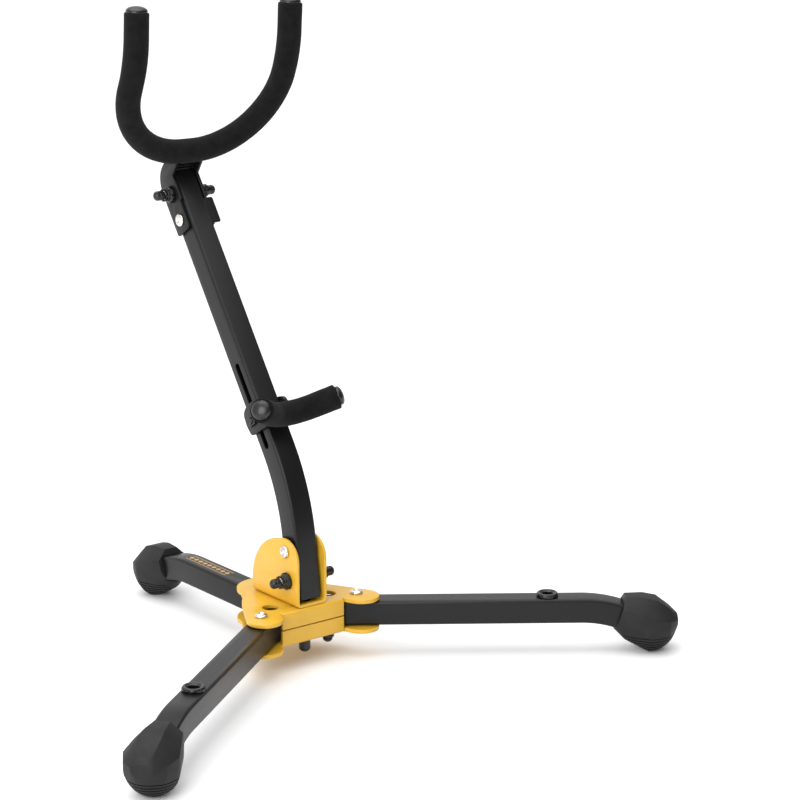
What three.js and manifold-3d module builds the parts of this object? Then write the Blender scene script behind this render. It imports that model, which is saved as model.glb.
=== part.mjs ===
// Folding saxophone stand: a three-legged base with a riveted hub, a bent square post,
// a sliding lower rest and a padded U-shaped yoke. Units are millimetres, +Z is up,
// the player stands on the -Y side, and the stand is mirror symmetric about X = 0.
import * as THREE from 'three';
import * as BufferGeometryUtils from 'three/addons/utils/BufferGeometryUtils.js';
import { ConvexGeometry } from 'three/addons/geometries/ConvexGeometry.js';
import Module from 'manifold-3d';

const wasm = await Module();
wasm.setup();

// ---- driving dimensions ----
const GAP = 0.3;                    // clearance between pieces that touch
const TUBE = 20;                    // outside of the square leg and post tube
const WALL = 1.5;                   // tube wall
const CORNER = 2.4;                 // outside corner radius of the tube

// base hub
const PLATE_T = 3.2;                // sheet thickness of both hub plates
const LEG_Z = 34.9;                 // height of the leg tubes' centreline at the hub
const PLATE_GAP = 0.7;              // washer room between a leg and a plate
const LIP_HALF = 29.6;              // half width of the front lip
const LIP_Y = -30;                  // front face of the lip
const EAR = { x: 46.5, y: -30.5, r: 14 };
const BACK_EAR = { y: 32.5, r: 24.3 };
const PIVOT = { x: 45.7, y: -24.6 };  // right front leg's rivet
const LOCK_OFFSET = 22.9;           // lock pin to rivet, on every folding joint
const LOCK_HOLE_R = 6.6;
const BACK_RIVET_Y = 38;
const HUB_BOLT_Y = -17.6;
const HUB_BOLT = { head: 5, cap: 4.6, low: 14 };
const LOCK_REACH = 12.2;            // how far a leg lock pin stands below the bottom plate

// legs
const LEG_SPREAD = 53.5;            // angle between a front leg and straight ahead, degrees
const LEG_INNER = 34;               // tube length inside the hub, past the rivet
const LEG_STRAIGHT = 178;           // rivet to the start of the down bend
const LEG_BEND_R = 95;
const LEG_BEND = 21.5;              // how far a leg turns down near its end, degrees
const LEG_END = 20.5;               // straight length after the bend, inside the boot
const FOOT_REACH = 240;             // rivet to the middle of the boot
const BACK_FOOT_Y = 200.8;
const INSERT_REACH = 151.2;         // rivet to the threaded insert

// clevis and post
const CLEVIS_T = 2.2;
const CLEVIS_HALF = 14.1;           // outer face of a cheek
const CLEVIS_FLOOR = 49.1;
const CLEVIS_FRONT = -28.5;
const POST_PIVOT = { y: -12.4, z: 91.5 };
const LOWER_LEAN = 7;               // lean of the post's lower part, degrees
const UPPER_LEAN = 34.4;            // lean of its upper part
const POST_BEND_R = 165;
const POST_BEND = { y: -7.5, z: 134.8 };   // where the two straight centrelines would meet
const POST_FOOT_Z = 53.4;
const UPPER_ORIGIN = { y: 27.7, z: 203.9 };  // point on the front face of the upper part
const POST_TOP = 201.5;             // end of the tube, along the upper part from that point
const SLOT = { low: -37, high: 36, width: 5.6 };

// lower rest, along the post's upper part
const REST_S = -12;                 // bolt's place along the post
const REST_BAR_S = -20;
const REST_BAR_Q = -17.5;           // bar's middle, ahead of the post's front face
const REST_BEND = 40;               // how far each arm turns forward, degrees
const REST_BEND_R = 31.8;
const REST_ARM = 20.3;
const REST_ROD_R = 4;
const REST_CAP_R = 7.6;
const REST_HALF = 13.6;             // outer face of a clamp plate
const BOLT_R = 2.5;
const NUT = 4;                      // half width of the square nut
const KNOB = { x: 15.4, r: 9.5, length: 9 };

// yoke
const YOKE_PIVOT_S = 162.5;
const YOKE_PIN_S = YOKE_PIVOT_S + LOCK_OFFSET;
const YOKE_ROD = { s: 210.3, q: -15 };
const YOKE_CHEEK = { inner: 10.4, outer: 12.7 };
const YOKE_ROD_R = 5;
const YOKE_HALF = 71;               // half distance between the prongs' centrelines
const YOKE_CORNER_R = 66;
const YOKE_TILT = 28;               // forward tilt of the U's plane from upright, degrees
const YOKE_STRAIGHT = 62;           // height along the tilted plane where the prongs bend upright
const YOKE_PRONG_R = 105;
const YOKE_TIP_TILT = 4;
const YOKE_RISE = 59;               // prong length above the corner
const YOKE_EAR_R = 7.5;
const FLANGE = { x: 18.7, low: 154, high: 176 };
const COLLAR = { front: -2.6, back: -0.4, low: 203.2, high: 209 };
const YOKE_CAP_R = 8.4;
const FOAM_R = 9.8;
const STEM = 1.9;                   // stem of an end cap, inside its rod

// fastenings shared by the folding joints
const RIVET_R = 3;
const RIVET_HEAD = { r: 5.1, h: 2.6 };
const PIN = {
  shank: 2.8, head: 3.9, barrel: 5.2, disc: 6.8, discT: 2.6, barrelL: 7.5, seat: 2, reach: 15.8, nose: 10.6,
};

const LEG_BOTTOM = LEG_Z - TUBE / 2;
const LEG_TOP = LEG_Z + TUBE / 2;
const TOP_PLATE_Z = LEG_TOP + PLATE_GAP;
const BOTTOM_PLATE_Z = LEG_BOTTOM - PLATE_GAP - PLATE_T;
const RAD = Math.PI / 180;
const SIDES = [['left', -1], ['right', 1]];

// ---- materials ----
const finish = (color, roughness, metalness) =>
  new THREE.MeshStandardMaterial({ color, roughness, metalness });
const yellowPaint = () => finish(0xf2b51d, 0.42, 0.0);
const blackPaint = () => finish(0x1c1c1e, 0.38, 0.1);
const blackPlastic = () => finish(0x111112, 0.3, 0.0);
const steel = () => finish(0xc9ccd1, 0.2, 1.0);
const foamBlack = () => finish(0x151517, 0.95, 0.0);
const rubber = () => finish(0x26262a, 0.8, 0.0);

// ---- solids ----
function toSolid(geometry) {
  const bare = geometry.clone();
  bare.deleteAttribute('normal');
  bare.deleteAttribute('uv');
  const merged = BufferGeometryUtils.mergeVertices(bare, 1e-4);
  return new wasm.Manifold(new wasm.Mesh({
    numProp: 3,
    vertProperties: new Float32Array(merged.attributes.position.array),
    triVerts: new Uint32Array(merged.index.array),
  }));
}

function toGeometry(solid) {
  const mesh = solid.getMesh();
  const geometry = new THREE.BufferGeometry();
  geometry.setAttribute('position', new THREE.BufferAttribute(mesh.vertProperties, 3));
  geometry.setIndex(new THREE.BufferAttribute(mesh.triVerts, 1));
  geometry.computeVertexNormals();
  return geometry;
}

function cut(geometry, tools) {
  const solid = tools.reduce((body, tool) => body.subtract(toSolid(tool)), toSolid(geometry));
  return toGeometry(solid);
}

function join(geometries) {
  const solids = geometries.map(toSolid);
  return toGeometry(solids.reduce((body, solid) => body.add(solid)));
}

function meet(first, second) {
  return toGeometry(toSolid(first).intersect(toSolid(second)));
}

function piece(name, geometry, material) {
  const mesh = new THREE.Mesh(geometry, material);
  mesh.name = name;
  return mesh;
}

// A box from its lowest to its highest corner.
function block(low, high) {
  const size = high.map((value, i) => value - low[i]);
  const geometry = new THREE.BoxGeometry(...size);
  return geometry.translate(...low.map((value, i) => value + size[i] / 2));
}

// A shape drawn in (y, z), extruded across X from x0 to x1.
function acrossX(shape, x0, x1) {
  const settings = { depth: x1 - x0, bevelEnabled: false, curveSegments: 6 };
  const geometry = new THREE.ExtrudeGeometry(shape, settings);
  geometry.rotateY(Math.PI / 2).rotateX(Math.PI / 2);
  return geometry.translate(x0, 0, 0);
}

// A shape drawn in (x, y), extruded up from z0 to z1.
function upright(shape, z0, z1) {
  const settings = { depth: z1 - z0, bevelEnabled: false, curveSegments: 6 };
  const geometry = new THREE.ExtrudeGeometry(shape, settings);
  return geometry.translate(0, 0, z0);
}

// A cylinder along an axis name, from a to b, through the point given by the other two.
function rod(axis, radius, a, b, u, v, sides = 20) {
  const geometry = new THREE.CylinderGeometry(radius, radius, b - a, sides);
  const middle = (a + b) / 2;
  if (axis === 'x') return geometry.rotateZ(Math.PI / 2).translate(middle, u, v);
  if (axis === 'y') return geometry.translate(u, middle, v);
  return geometry.rotateX(Math.PI / 2).translate(u, v, middle);
}

// A body of revolution about +Z from (radius, height) pairs.
function turned(profile, sides = 24) {
  const points = profile.map(([r, h]) => new THREE.Vector2(r, h));
  return new THREE.LatheGeometry(points, sides).rotateX(Math.PI / 2);
}

function roundedSquare(side, radius) {
  const shape = new THREE.Shape();
  const h = side / 2;
  const c = h - radius;
  shape.moveTo(-c, -h);
  shape.lineTo(c, -h);
  shape.absarc(c, -c, radius, -Math.PI / 2, 0);
  shape.absarc(c, c, radius, 0, Math.PI / 2);
  shape.absarc(-c, c, radius, Math.PI / 2, Math.PI);
  shape.absarc(-c, -c, radius, Math.PI, 1.5 * Math.PI);
  return shape;
}

function circle(radius, hole = 0) {
  const shape = new THREE.Shape();
  shape.absarc(0, 0, radius, 0, 2 * Math.PI);
  if (hole) {
    const inner = new THREE.Path();
    inner.absarc(0, 0, hole, 0, 2 * Math.PI, true);
    shape.holes.push(inner);
  }
  return shape;
}

// A closed section swept along a curve.
function sweep(shape, curve, steps, curveSegments) {
  return new THREE.ExtrudeGeometry(shape, { extrudePath: curve, steps, curveSegments });
}

// ---- base hub ----
// Outline shared by both plates: the front lip's edge, two ears and a round back.
function plateOutline() {
  const shape = new THREE.Shape();
  shape.moveTo(-LIP_HALF, LIP_Y + PLATE_T);
  shape.lineTo(LIP_HALF, LIP_Y + PLATE_T);
  shape.absarc(EAR.x, EAR.y, EAR.r, -150 * RAD, 26 * RAD);
  shape.quadraticCurveTo(44, 4, 38, 13);
  shape.quadraticCurveTo(34, 19, 30, 23);
  shape.absarc(0, BACK_EAR.y, BACK_EAR.r, 5 * RAD, 175 * RAD);
  shape.lineTo(-30, 23);
  shape.quadraticCurveTo(-34, 19, -38, 13);
  shape.quadraticCurveTo(-44, 4, -EAR.x - EAR.r * Math.cos(26 * RAD), EAR.y + EAR.r * Math.sin(26 * RAD));
  shape.absarc(-EAR.x, EAR.y, EAR.r, 154 * RAD, 330 * RAD);
  return shape;
}

// The folded lip across the front of a plate, with a round outer bend.
function frontLip(z, zSeam) {
  const up = Math.sign(zSeam - z);
  const outer = up > 0 ? z : z + PLATE_T;
  const inner = outer + up * PLATE_T;
  const y1 = LIP_Y + PLATE_T;
  const shape = new THREE.Shape();
  shape.moveTo(LIP_Y, zSeam);
  shape.lineTo(y1 - 0.6, zSeam);
  shape.lineTo(y1 - 0.6, inner + up * 0.6);
  shape.lineTo(y1 + 1, inner - up * 0.4);
  shape.lineTo(y1 + 1, outer);
  shape.lineTo(y1, outer);
  shape.quadraticCurveTo(LIP_Y, outer, LIP_Y, inner);
  return acrossX(shape, -LIP_HALF, LIP_HALF);
}

function hubPlate(name, z, zSeam, holes) {
  const plate = join([upright(plateOutline(), z, z + PLATE_T), frontLip(z, zSeam)]);
  const drills = holes.map(([x, y, r]) => rod('z', r, z - 1, z + PLATE_T + 1, x, y, 24));
  return piece(name, cut(plate, drills), yellowPaint());
}

function lockPoint(side) {
  return [
    side * (PIVOT.x - LOCK_OFFSET * Math.sin(LEG_SPREAD * RAD)),
    PIVOT.y + LOCK_OFFSET * Math.cos(LEG_SPREAD * RAD),
  ];
}

function hubHoles(lockRadius) {
  const tight = RIVET_R + GAP;
  return [
    [-PIVOT.x, PIVOT.y, tight],
    [PIVOT.x, PIVOT.y, tight],
    [0, BACK_RIVET_Y, tight],
    [0, HUB_BOLT_Y, tight],
    [...lockPoint(-1), lockRadius],
    [...lockPoint(1), lockRadius],
  ];
}

function clevisSide() {
  const shape = new THREE.Shape();
  shape.moveTo(CLEVIS_FRONT, CLEVIS_FLOOR - 1);
  shape.lineTo(32.5, CLEVIS_FLOOR - 1);
  shape.absarc(-8, 60, 40.5, 0, 80 * RAD);
  shape.absarc(CLEVIS_FRONT + 17, 85, 17, 70 * RAD, Math.PI);
  return shape;
}

// A sheet folded into a U, seen along Y.
function channelSection(top) {
  const bend = 3.4;
  const h = CLEVIS_HALF;
  const i = h - CLEVIS_T;
  const z = CLEVIS_FLOOR + bend;
  const shape = new THREE.Shape();
  shape.moveTo(-h, top);
  shape.absarc(bend - h, z, bend, Math.PI, 1.5 * Math.PI);
  shape.absarc(h - bend, z, bend, 1.5 * Math.PI, 2 * Math.PI);
  shape.lineTo(h, top);
  shape.lineTo(i, top);
  shape.absarc(h - bend, z, bend - CLEVIS_T, 0, -Math.PI / 2, true);
  shape.absarc(bend - h, z, bend - CLEVIS_T, -Math.PI / 2, -Math.PI, true);
  shape.lineTo(-i, top);
  return shape;
}

function clevisPin() {
  return [
    POST_PIVOT.y - LOCK_OFFSET * Math.sin(LOWER_LEAN * RAD),
    POST_PIVOT.z - LOCK_OFFSET * Math.cos(LOWER_LEAN * RAD),
  ];
}

// Its floor bolts to the top plate and its cheeks hold the post.
function clevisBracket() {
  const settings = { depth: 70, bevelEnabled: false, curveSegments: 4 };
  const channel = new THREE.ExtrudeGeometry(channelSection(110), settings);
  channel.rotateX(Math.PI / 2).translate(0, 35, 0);
  const bent = meet(channel, acrossX(clevisSide(), -20, 20));
  return piece('post_clevis', cut(bent, [
    rod('x', RIVET_R + GAP, -20, 20, POST_PIVOT.y, POST_PIVOT.z),
    rod('x', PIN.shank + GAP, -20, 20, ...clevisPin()),
    rod('z', RIVET_R + GAP, CLEVIS_FLOOR - 1, CLEVIS_FLOOR + 5, 0, HUB_BOLT_Y),
    rod('z', HUB_BOLT.head + GAP, CLEVIS_FLOOR + 0.6, CLEVIS_FLOOR + 5, 0, HUB_BOLT_Y),
  ]), yellowPaint());
}

// ---- fastenings ----
// A rivet along +Z between the outer faces z0 and z1 that it holds, with dimpled heads.
function rivetGeometry(z0, z1) {
  const { r, h } = RIVET_HEAD;
  const a = z0 - GAP;
  const b = z1 + GAP;
  return turned([
    [0, a - h * 0.72], [r * 0.3, a - h * 0.72], [r * 0.42, a - h], [r * 0.75, a - h * 0.8],
    [r, a - h * 0.3], [r, a], [RIVET_R, a],
    [RIVET_R, b], [r, b], [r, b + h * 0.3], [r * 0.75, b + h * 0.8],
    [r * 0.42, b + h], [r * 0.3, b + h * 0.72], [0, b + h * 0.72],
  ], 12);
}

function crossRivet(name, half, y, z) {
  const rivet = piece(name, rivetGeometry(-half, half), steel());
  rivet.rotation.y = Math.PI / 2;
  rivet.position.set(0, y, z);
  return rivet;
}

function standingRivet(name, x, y) {
  const rivet = piece(name, rivetGeometry(BOTTOM_PLATE_Z, TOP_PLATE_Z + PLATE_T), steel());
  rivet.position.set(x, y, 0);
  return rivet;
}

function hubBolt() {
  const top = CLEVIS_FLOOR + CLEVIS_T - 0.2;
  const bolt = turned([
    [0, HUB_BOLT.low], [RIVET_R, HUB_BOLT.low], [RIVET_R, CLEVIS_FLOOR + 0.9],
    [HUB_BOLT.head, CLEVIS_FLOOR + 0.9], [HUB_BOLT.head, top], [2, top], [1.4, top - 0.8], [0, top - 0.8],
  ], 12);
  return piece('hub_bolt', bolt.translate(0, HUB_BOLT_Y, 0), steel());
}

// The domed nut that closes the hub bolt under the bottom plate.
function hubBoltCap() {
  const { cap, low } = HUB_BOLT;
  const top = BOTTOM_PLATE_Z - GAP;
  const dome = low - 2;
  const bore = RIVET_R + GAP;
  const profile = [[0, low - GAP], [bore, low - GAP], [bore, top], [cap, top], [cap, dome]];
  for (let i = 1; i < 5; i += 1) {
    profile.push([cap * Math.cos(i * 18 * RAD), dome - cap * 0.8 * Math.sin(i * 18 * RAD)]);
  }
  profile.push([0, dome - cap * 0.8]);
  return piece('hub_bolt_cap', turned(profile.reverse(), 14).translate(0, HUB_BOLT_Y, 0), blackPlastic());
}

// A lock pin drawn along +Z, away from the face that its guide sits on.
function pinGeometry(inner, reach) {
  const { shank, head, barrelL } = PIN;
  const shoulder = barrelL + GAP;
  const dome = reach - head * 0.8;
  const profile = [[0, inner], [shank, inner], [shank, shoulder], [head, shoulder], [head, dome]];
  for (let i = 1; i < 5; i += 1) {
    profile.push([head * Math.cos(i * 18 * RAD), dome + head * 0.8 * Math.sin(i * 18 * RAD)]);
  }
  return turned([...profile, [0, reach]], 12);
}

function guideGeometry() {
  const { shank, disc, discT, barrel, barrelL, head, seat } = PIN;
  const bore = shank + GAP;
  const cup = head + GAP;
  return turned([
    [bore, 0], [disc, 0], [disc, discT * 0.7], [disc - 0.8, discT], [barrel + 0.7, discT],
    [barrel, discT + 1.2], [barrel, barrelL - 0.5], [barrel - 0.4, barrelL], [cup, barrelL],
    [cup, seat], [bore, seat], [bore, 0],
  ], 14);
}

class Helix extends THREE.Curve {
  constructor(radius, turns, low, high) {
    super();
    Object.assign(this, { radius, turns, low, high });
  }

  getPoint(t, target = new THREE.Vector3()) {
    const angle = 2 * Math.PI * this.turns * t;
    const height = this.low + (this.high - this.low) * t;
    return target.set(this.radius * Math.cos(angle), this.radius * Math.sin(angle), height);
  }
}

function springGeometry() {
  const wire = 0.25;
  const radius = PIN.shank + GAP + wire;
  const coil = new Helix(radius, 3, PIN.seat + GAP + wire, PIN.barrelL - wire);
  return sweep(circle(wire), coil, 24, 2);
}

// A guide, pin and return spring. inner is where the pin's nose ends behind the face.
function lockPin(prefix, inner, reach) {
  const set = new THREE.Group();
  set.add(piece(`${prefix}_guide`, guideGeometry(), blackPlastic()));
  set.add(piece(`${prefix}_pin`, pinGeometry(inner, reach), blackPlastic()));
  set.add(piece(`${prefix}_spring`, springGeometry(), steel()));
  return set;
}

// A pair of pins pointing out to both sides from the outer faces at |x| = face.
function sidePins(prefix, face, y, z) {
  return SIDES.map(([label, side]) => {
    const set = lockPin(`${prefix}_${label}`, PIN.nose - face - GAP, PIN.reach);
    set.rotation.y = side * Math.PI / 2;
    set.position.set(side * (face + GAP), y, z);
    return set;
  });
}

function legLocks() {
  return SIDES.map(([label, side]) => {
    const set = lockPin(`leg_lock_${label}`, BOTTOM_PLATE_Z - LEG_BOTTOM, LOCK_REACH);
    set.rotation.x = Math.PI;
    set.position.set(...lockPoint(side), BOTTOM_PLATE_Z - GAP);
    return set;
  });
}

// ---- legs: local +X runs along the leg from its rivet, and local Z is height ----
class DownBend extends THREE.Curve {
  constructor(x, radius, angle) {
    super();
    Object.assign(this, { x, radius, angle });
  }

  getPoint(t, target = new THREE.Vector3()) {
    const a = t * this.angle;
    return target.set(this.x + this.radius * Math.sin(a), 0, LEG_Z - this.radius * (1 - Math.cos(a)));
  }
}

function legCurve(start, straight, extra) {
  const angle = LEG_BEND * RAD;
  const bend = new DownBend(straight, LEG_BEND_R, angle);
  const end = bend.getPoint(1);
  const down = new THREE.Vector3(Math.cos(angle), 0, -Math.sin(angle));
  const tip = end.clone().addScaledVector(down, LEG_END + extra);
  const curve = new THREE.CurvePath();
  const inner = new THREE.Vector3(start, 0, LEG_Z);
  curve.add(new THREE.LineCurve3(inner, new THREE.Vector3(straight, 0, LEG_Z)));
  curve.add(bend);
  curve.add(new THREE.LineCurve3(end, tip));
  return curve;
}

function legTube(name, start, straight, drills) {
  const outer = sweep(roundedSquare(TUBE, CORNER), legCurve(start, straight, 0), 20, 2);
  const bore = sweep(roundedSquare(TUBE - 2 * WALL, 0.9), legCurve(start - 1, straight, 1), 14, 1);
  return piece(name, cut(outer, [bore, ...drills]), blackPaint());
}

// Octagonal rings of the rubber boot: place along the leg, height, half height, half width, lean.
function bootRings(reach) {
  return [
    [reach - 31.5, 31.5, 14.4, 13.8, 18],
    [reach - 20, 27, 19.5, 17.5, 22],
    [reach - 5, 20.6, 22.2, 20.5, 8],
    [reach + 8, 21.5, 14, 16, 0],
    [reach + 14.8, 24.5, 5, 8, 0],
  ];
}

function bootHull(reach) {
  const points = [];
  for (const [t, z, high, wide, lean] of bootRings(reach)) {
    for (let i = 0; i < 8; i += 1) {
      const angle = (i + 0.5) * 45 * RAD;
      const up = high * Math.sin(angle) / Math.cos(22.5 * RAD);
      const y = wide * Math.cos(angle) / Math.cos(22.5 * RAD);
      points.push(new THREE.Vector3(t + up * Math.sin(lean * RAD), y, z + up * Math.cos(lean * RAD)));
    }
  }
  return new ConvexGeometry(points);
}

function boot(name, reach, straight) {
  const route = legCurve(straight - 60, straight, GAP);
  const socket = sweep(roundedSquare(TUBE + 2 * GAP, CORNER), route, 12, 2);
  const above = block([0, -50, 0], [400, 50, 90]);
  return piece(name, cut(meet(bootHull(reach), above), [socket]), rubber());
}

function legInsert(name) {
  const top = LEG_TOP + GAP;
  const mesh = piece(name, turned([
    [4.5, top - 9], [6.2, top - 9], [6.2, top], [8.6, top], [8.8, top + 1.6], [7.9, top + 3],
    [6.1, top + 3], [4.5, top + 1.6], [4.5, top - 9],
  ], 18), blackPlastic());
  mesh.position.x = INSERT_REACH;
  return mesh;
}

function frontLeg(label, side) {
  const leg = new THREE.Group();
  leg.add(legTube(`${label}_leg_tube`, -LEG_INNER, LEG_STRAIGHT, [
    rod('z', RIVET_R + GAP, 10, 60, 0, 0),
    rod('z', PIN.shank + GAP, 10, LEG_Z, -LOCK_OFFSET, 0),
    rod('z', 6.5, LEG_Z, 60, INSERT_REACH, 0),
  ]));
  leg.add(boot(`${label}_boot`, FOOT_REACH, LEG_STRAIGHT));
  leg.add(legInsert(`${label}_leg_insert`));
  leg.position.set(side * PIVOT.x, PIVOT.y, 0);
  leg.rotation.z = -Math.PI / 2 + side * LEG_SPREAD * RAD;
  return leg;
}

function backLeg() {
  const leg = new THREE.Group();
  const straight = BACK_FOOT_Y - FOOT_REACH + LEG_STRAIGHT;
  leg.add(legTube('back_leg_tube', 8, straight, [rod('z', RIVET_R + GAP, 10, 60, BACK_RIVET_Y, 0)]));
  leg.add(boot('back_boot', BACK_FOOT_Y, straight));
  leg.rotation.z = Math.PI / 2;
  return leg;
}

// ---- post ----
// A point of the upper part: q behind its front face and s along it.
function upperPoint(q, s) {
  const sin = Math.sin(UPPER_LEAN * RAD);
  const cos = Math.cos(UPPER_LEAN * RAD);
  return new THREE.Vector3(0, UPPER_ORIGIN.y + q * cos + s * sin, UPPER_ORIGIN.z - q * sin + s * cos);
}

// Moves a geometry drawn as (x, q, s) to the stand's frame.
function ontoUpper(geometry) {
  return geometry.rotateX(-UPPER_LEAN * RAD).translate(0, UPPER_ORIGIN.y, UPPER_ORIGIN.z);
}

// Straight, one bend, straight. extra lengthens both ends.
function postCurve(extra) {
  const lower = new THREE.Vector3(0, Math.sin(LOWER_LEAN * RAD), Math.cos(LOWER_LEAN * RAD));
  const upper = new THREE.Vector3(0, Math.sin(UPPER_LEAN * RAD), Math.cos(UPPER_LEAN * RAD));
  const corner = new THREE.Vector3(0, POST_BEND.y, POST_BEND.z);
  const tangent = POST_BEND_R * Math.tan((UPPER_LEAN - LOWER_LEAN) * RAD / 2);
  const foot = corner.clone().addScaledVector(lower, (POST_FOOT_Z - POST_BEND.z) / lower.z - extra);
  const bendLow = corner.clone().addScaledVector(lower, -tangent);
  const bendHigh = corner.clone().addScaledVector(upper, tangent);
  const curve = new THREE.CurvePath();
  curve.add(new THREE.LineCurve3(foot, bendLow));
  curve.add(new THREE.QuadraticBezierCurve3(bendLow, corner, bendHigh));
  curve.add(new THREE.LineCurve3(bendHigh, upperPoint(TUBE / 2, POST_TOP + extra)));
  return curve;
}

function slotCutter() {
  const r = SLOT.width / 2;
  const shape = new THREE.Shape();
  shape.absarc(TUBE / 2, SLOT.low + r, r, Math.PI, 2 * Math.PI);
  shape.absarc(TUBE / 2, SLOT.high - r, r, 0, Math.PI);
  return acrossX(shape, -20, 20);
}

function postTube() {
  const outer = sweep(roundedSquare(TUBE, CORNER), postCurve(0), 28, 2);
  const bore = sweep(roundedSquare(TUBE - 2 * WALL, 0.9), postCurve(1), 20, 1);
  return piece('post_tube', cut(outer, [
    bore,
    ontoUpper(slotCutter()),
    rod('x', RIVET_R + GAP, -20, 20, POST_PIVOT.y, POST_PIVOT.z),
    rod('x', PIN.shank + GAP, -20, 20, ...clevisPin()),
    ontoUpper(rod('x', RIVET_R + GAP, -20, 20, TUBE / 2, YOKE_PIVOT_S)),
    ontoUpper(rod('x', PIN.shank + GAP, -20, 20, TUBE / 2, YOKE_PIN_S)),
  ]), blackPaint());
}

function postPlug() {
  const inside = TUBE - 2 * WALL - 2 * GAP;
  const cap = upright(roundedSquare(TUBE, CORNER), POST_TOP + GAP, POST_TOP + GAP + 2);
  const stem = upright(roundedSquare(inside, 0.9), POST_TOP - 8, POST_TOP + GAP + 1);
  return piece('post_top_plug', ontoUpper(join([cap, stem]).translate(0, TUBE / 2, 0)), blackPlastic());
}

// ---- lower rest, drawn as (x, q, s) ----
function restClamp() {
  const outline = new THREE.Shape();
  outline.moveTo(-7, REST_S - 11.3);
  outline.lineTo(19.5, REST_S - 9.8);
  outline.quadraticCurveTo(22, REST_S, 20, REST_S + 9.5);
  outline.quadraticCurveTo(18, REST_S + 13, 13, REST_S + 13);
  outline.lineTo(2, REST_S + 13.2);
  outline.lineTo(-5.6, REST_S + 9.4);
  outline.lineTo(-7, REST_S + 6);
  const plates = cut(acrossX(outline, -REST_HALF, REST_HALF), [
    block([-10.4, -3.8, REST_S - 30], [10.4, 40, REST_S + 30]),
  ]);
  const lug = block([-4.5, REST_BAR_Q + REST_ROD_R + GAP, REST_BAR_S - 2.5], [4.5, -6.5, REST_BAR_S + 4]);
  const room = NUT + GAP;
  return piece('rest_clamp', cut(join([plates, lug]), [
    block([-20, TUBE / 2 - room, REST_S - room], [1.4 - REST_HALF, TUBE / 2 + room, REST_S + room]),
    rod('x', BOLT_R + GAP, -20, 20, TUBE / 2, REST_S),
  ]), blackPaint());
}

// A level bow, hollow side forward: a bend in the middle and a straight arm to each end.
class Bow extends THREE.Curve {
  getPoint(t, target = new THREE.Vector3()) {
    const turn = REST_BEND * RAD;
    const bent = REST_BEND_R * turn;
    const run = Math.abs(2 * t - 1) * (bent + REST_ARM);
    const angle = Math.min(run, bent) / REST_BEND_R;
    const arm = Math.max(run - bent, 0);
    const x = REST_BEND_R * Math.sin(angle) + arm * Math.cos(turn);
    const q = REST_BAR_Q - REST_BEND_R * (1 - Math.cos(angle)) - arm * Math.sin(turn);
    return target.set(Math.sign(t - 0.5) * x, q, REST_BAR_S);
  }
}

// A domed cap with a stem for the rod's bore, set on the end of a padded curve.
function endCap(name, curve, t, radius, height) {
  const profile = [[0, -3], [STEM, -3], [STEM, GAP], [radius, GAP], [radius, 1.6]];
  for (let i = 1; i < 5; i += 1) {
    profile.push([radius * Math.cos(i * 18 * RAD), 1.6 + (height - 1.6) * Math.sin(i * 18 * RAD)]);
  }
  const outward = curve.getTangent(t).multiplyScalar(t ? 1 : -1);
  const cap = piece(name, turned([...profile, [0, height]], 16), blackPlastic());
  cap.quaternion.setFromUnitVectors(new THREE.Vector3(0, 0, 1), outward);
  cap.position.copy(curve.getPoint(t));
  return cap;
}

function restFastening() {
  const y = TUBE / 2;
  const grip = new THREE.Shape();
  for (let i = 0; i < 48; i += 1) {
    const angle = i * 7.5 * RAD;
    const radius = KNOB.r - 0.9 * (1 - Math.cos(6 * angle)) / 2;
    const point = [radius * Math.cos(angle) + y, radius * Math.sin(angle) + REST_S];
    if (i) grip.lineTo(...point);
    else grip.moveTo(...point);
  }
  const knob = cut(acrossX(grip, KNOB.x, KNOB.x + KNOB.length), [
    rod('x', BOLT_R + GAP, KNOB.x - 1, KNOB.x + 7, y, REST_S),
  ]);
  const washer = cut(rod('x', 6.5, REST_HALF + GAP, KNOB.x - GAP, y, REST_S), [
    rod('x', BOLT_R + GAP, 0, 30, y, REST_S),
  ]);
  const [low, high] = [1.7 - REST_HALF - 4, 1.7 - REST_HALF - 0.6];
  const nut = cut(block([low, y - NUT, REST_S - NUT], [high, y + NUT, REST_S + NUT]), [
    rod('x', BOLT_R + GAP, -30, 30, y, REST_S),
  ]);
  return [
    piece('rest_knob', knob, blackPlastic()),
    piece('rest_washer', washer, steel()),
    piece('rest_nut', nut, steel()),
    piece('rest_bolt', rod('x', BOLT_R, -REST_HALF - 3.4, KNOB.x + 6.5, y, REST_S, 16), steel()),
  ];
}

function lowerRest() {
  const rest = new THREE.Group();
  const curve = new Bow();
  const lugRoom = block([-4.9, REST_BAR_Q, REST_BAR_S - 2.9], [4.9, 0, REST_BAR_S + 4.4]);
  const sleeve = cut(sweep(circle(FOAM_R, REST_ROD_R + GAP), curve, 16, 6), [lugRoom]);
  rest.add(restClamp());
  rest.add(piece('rest_rod', sweep(circle(REST_ROD_R, STEM + 2 * GAP), curve, 16, 4), blackPaint()));
  rest.add(piece('rest_foam', sleeve, foamBlack()));
  rest.add(endCap('rest_cap_left', curve, 0, REST_CAP_R, 4.6));
  rest.add(endCap('rest_cap_right', curve, 1, REST_CAP_R, 4.6));
  rest.add(...restFastening());
  rest.rotation.x = -UPPER_LEAN * RAD;
  rest.position.set(0, UPPER_ORIGIN.y, UPPER_ORIGIN.z);
  return rest;
}

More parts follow.
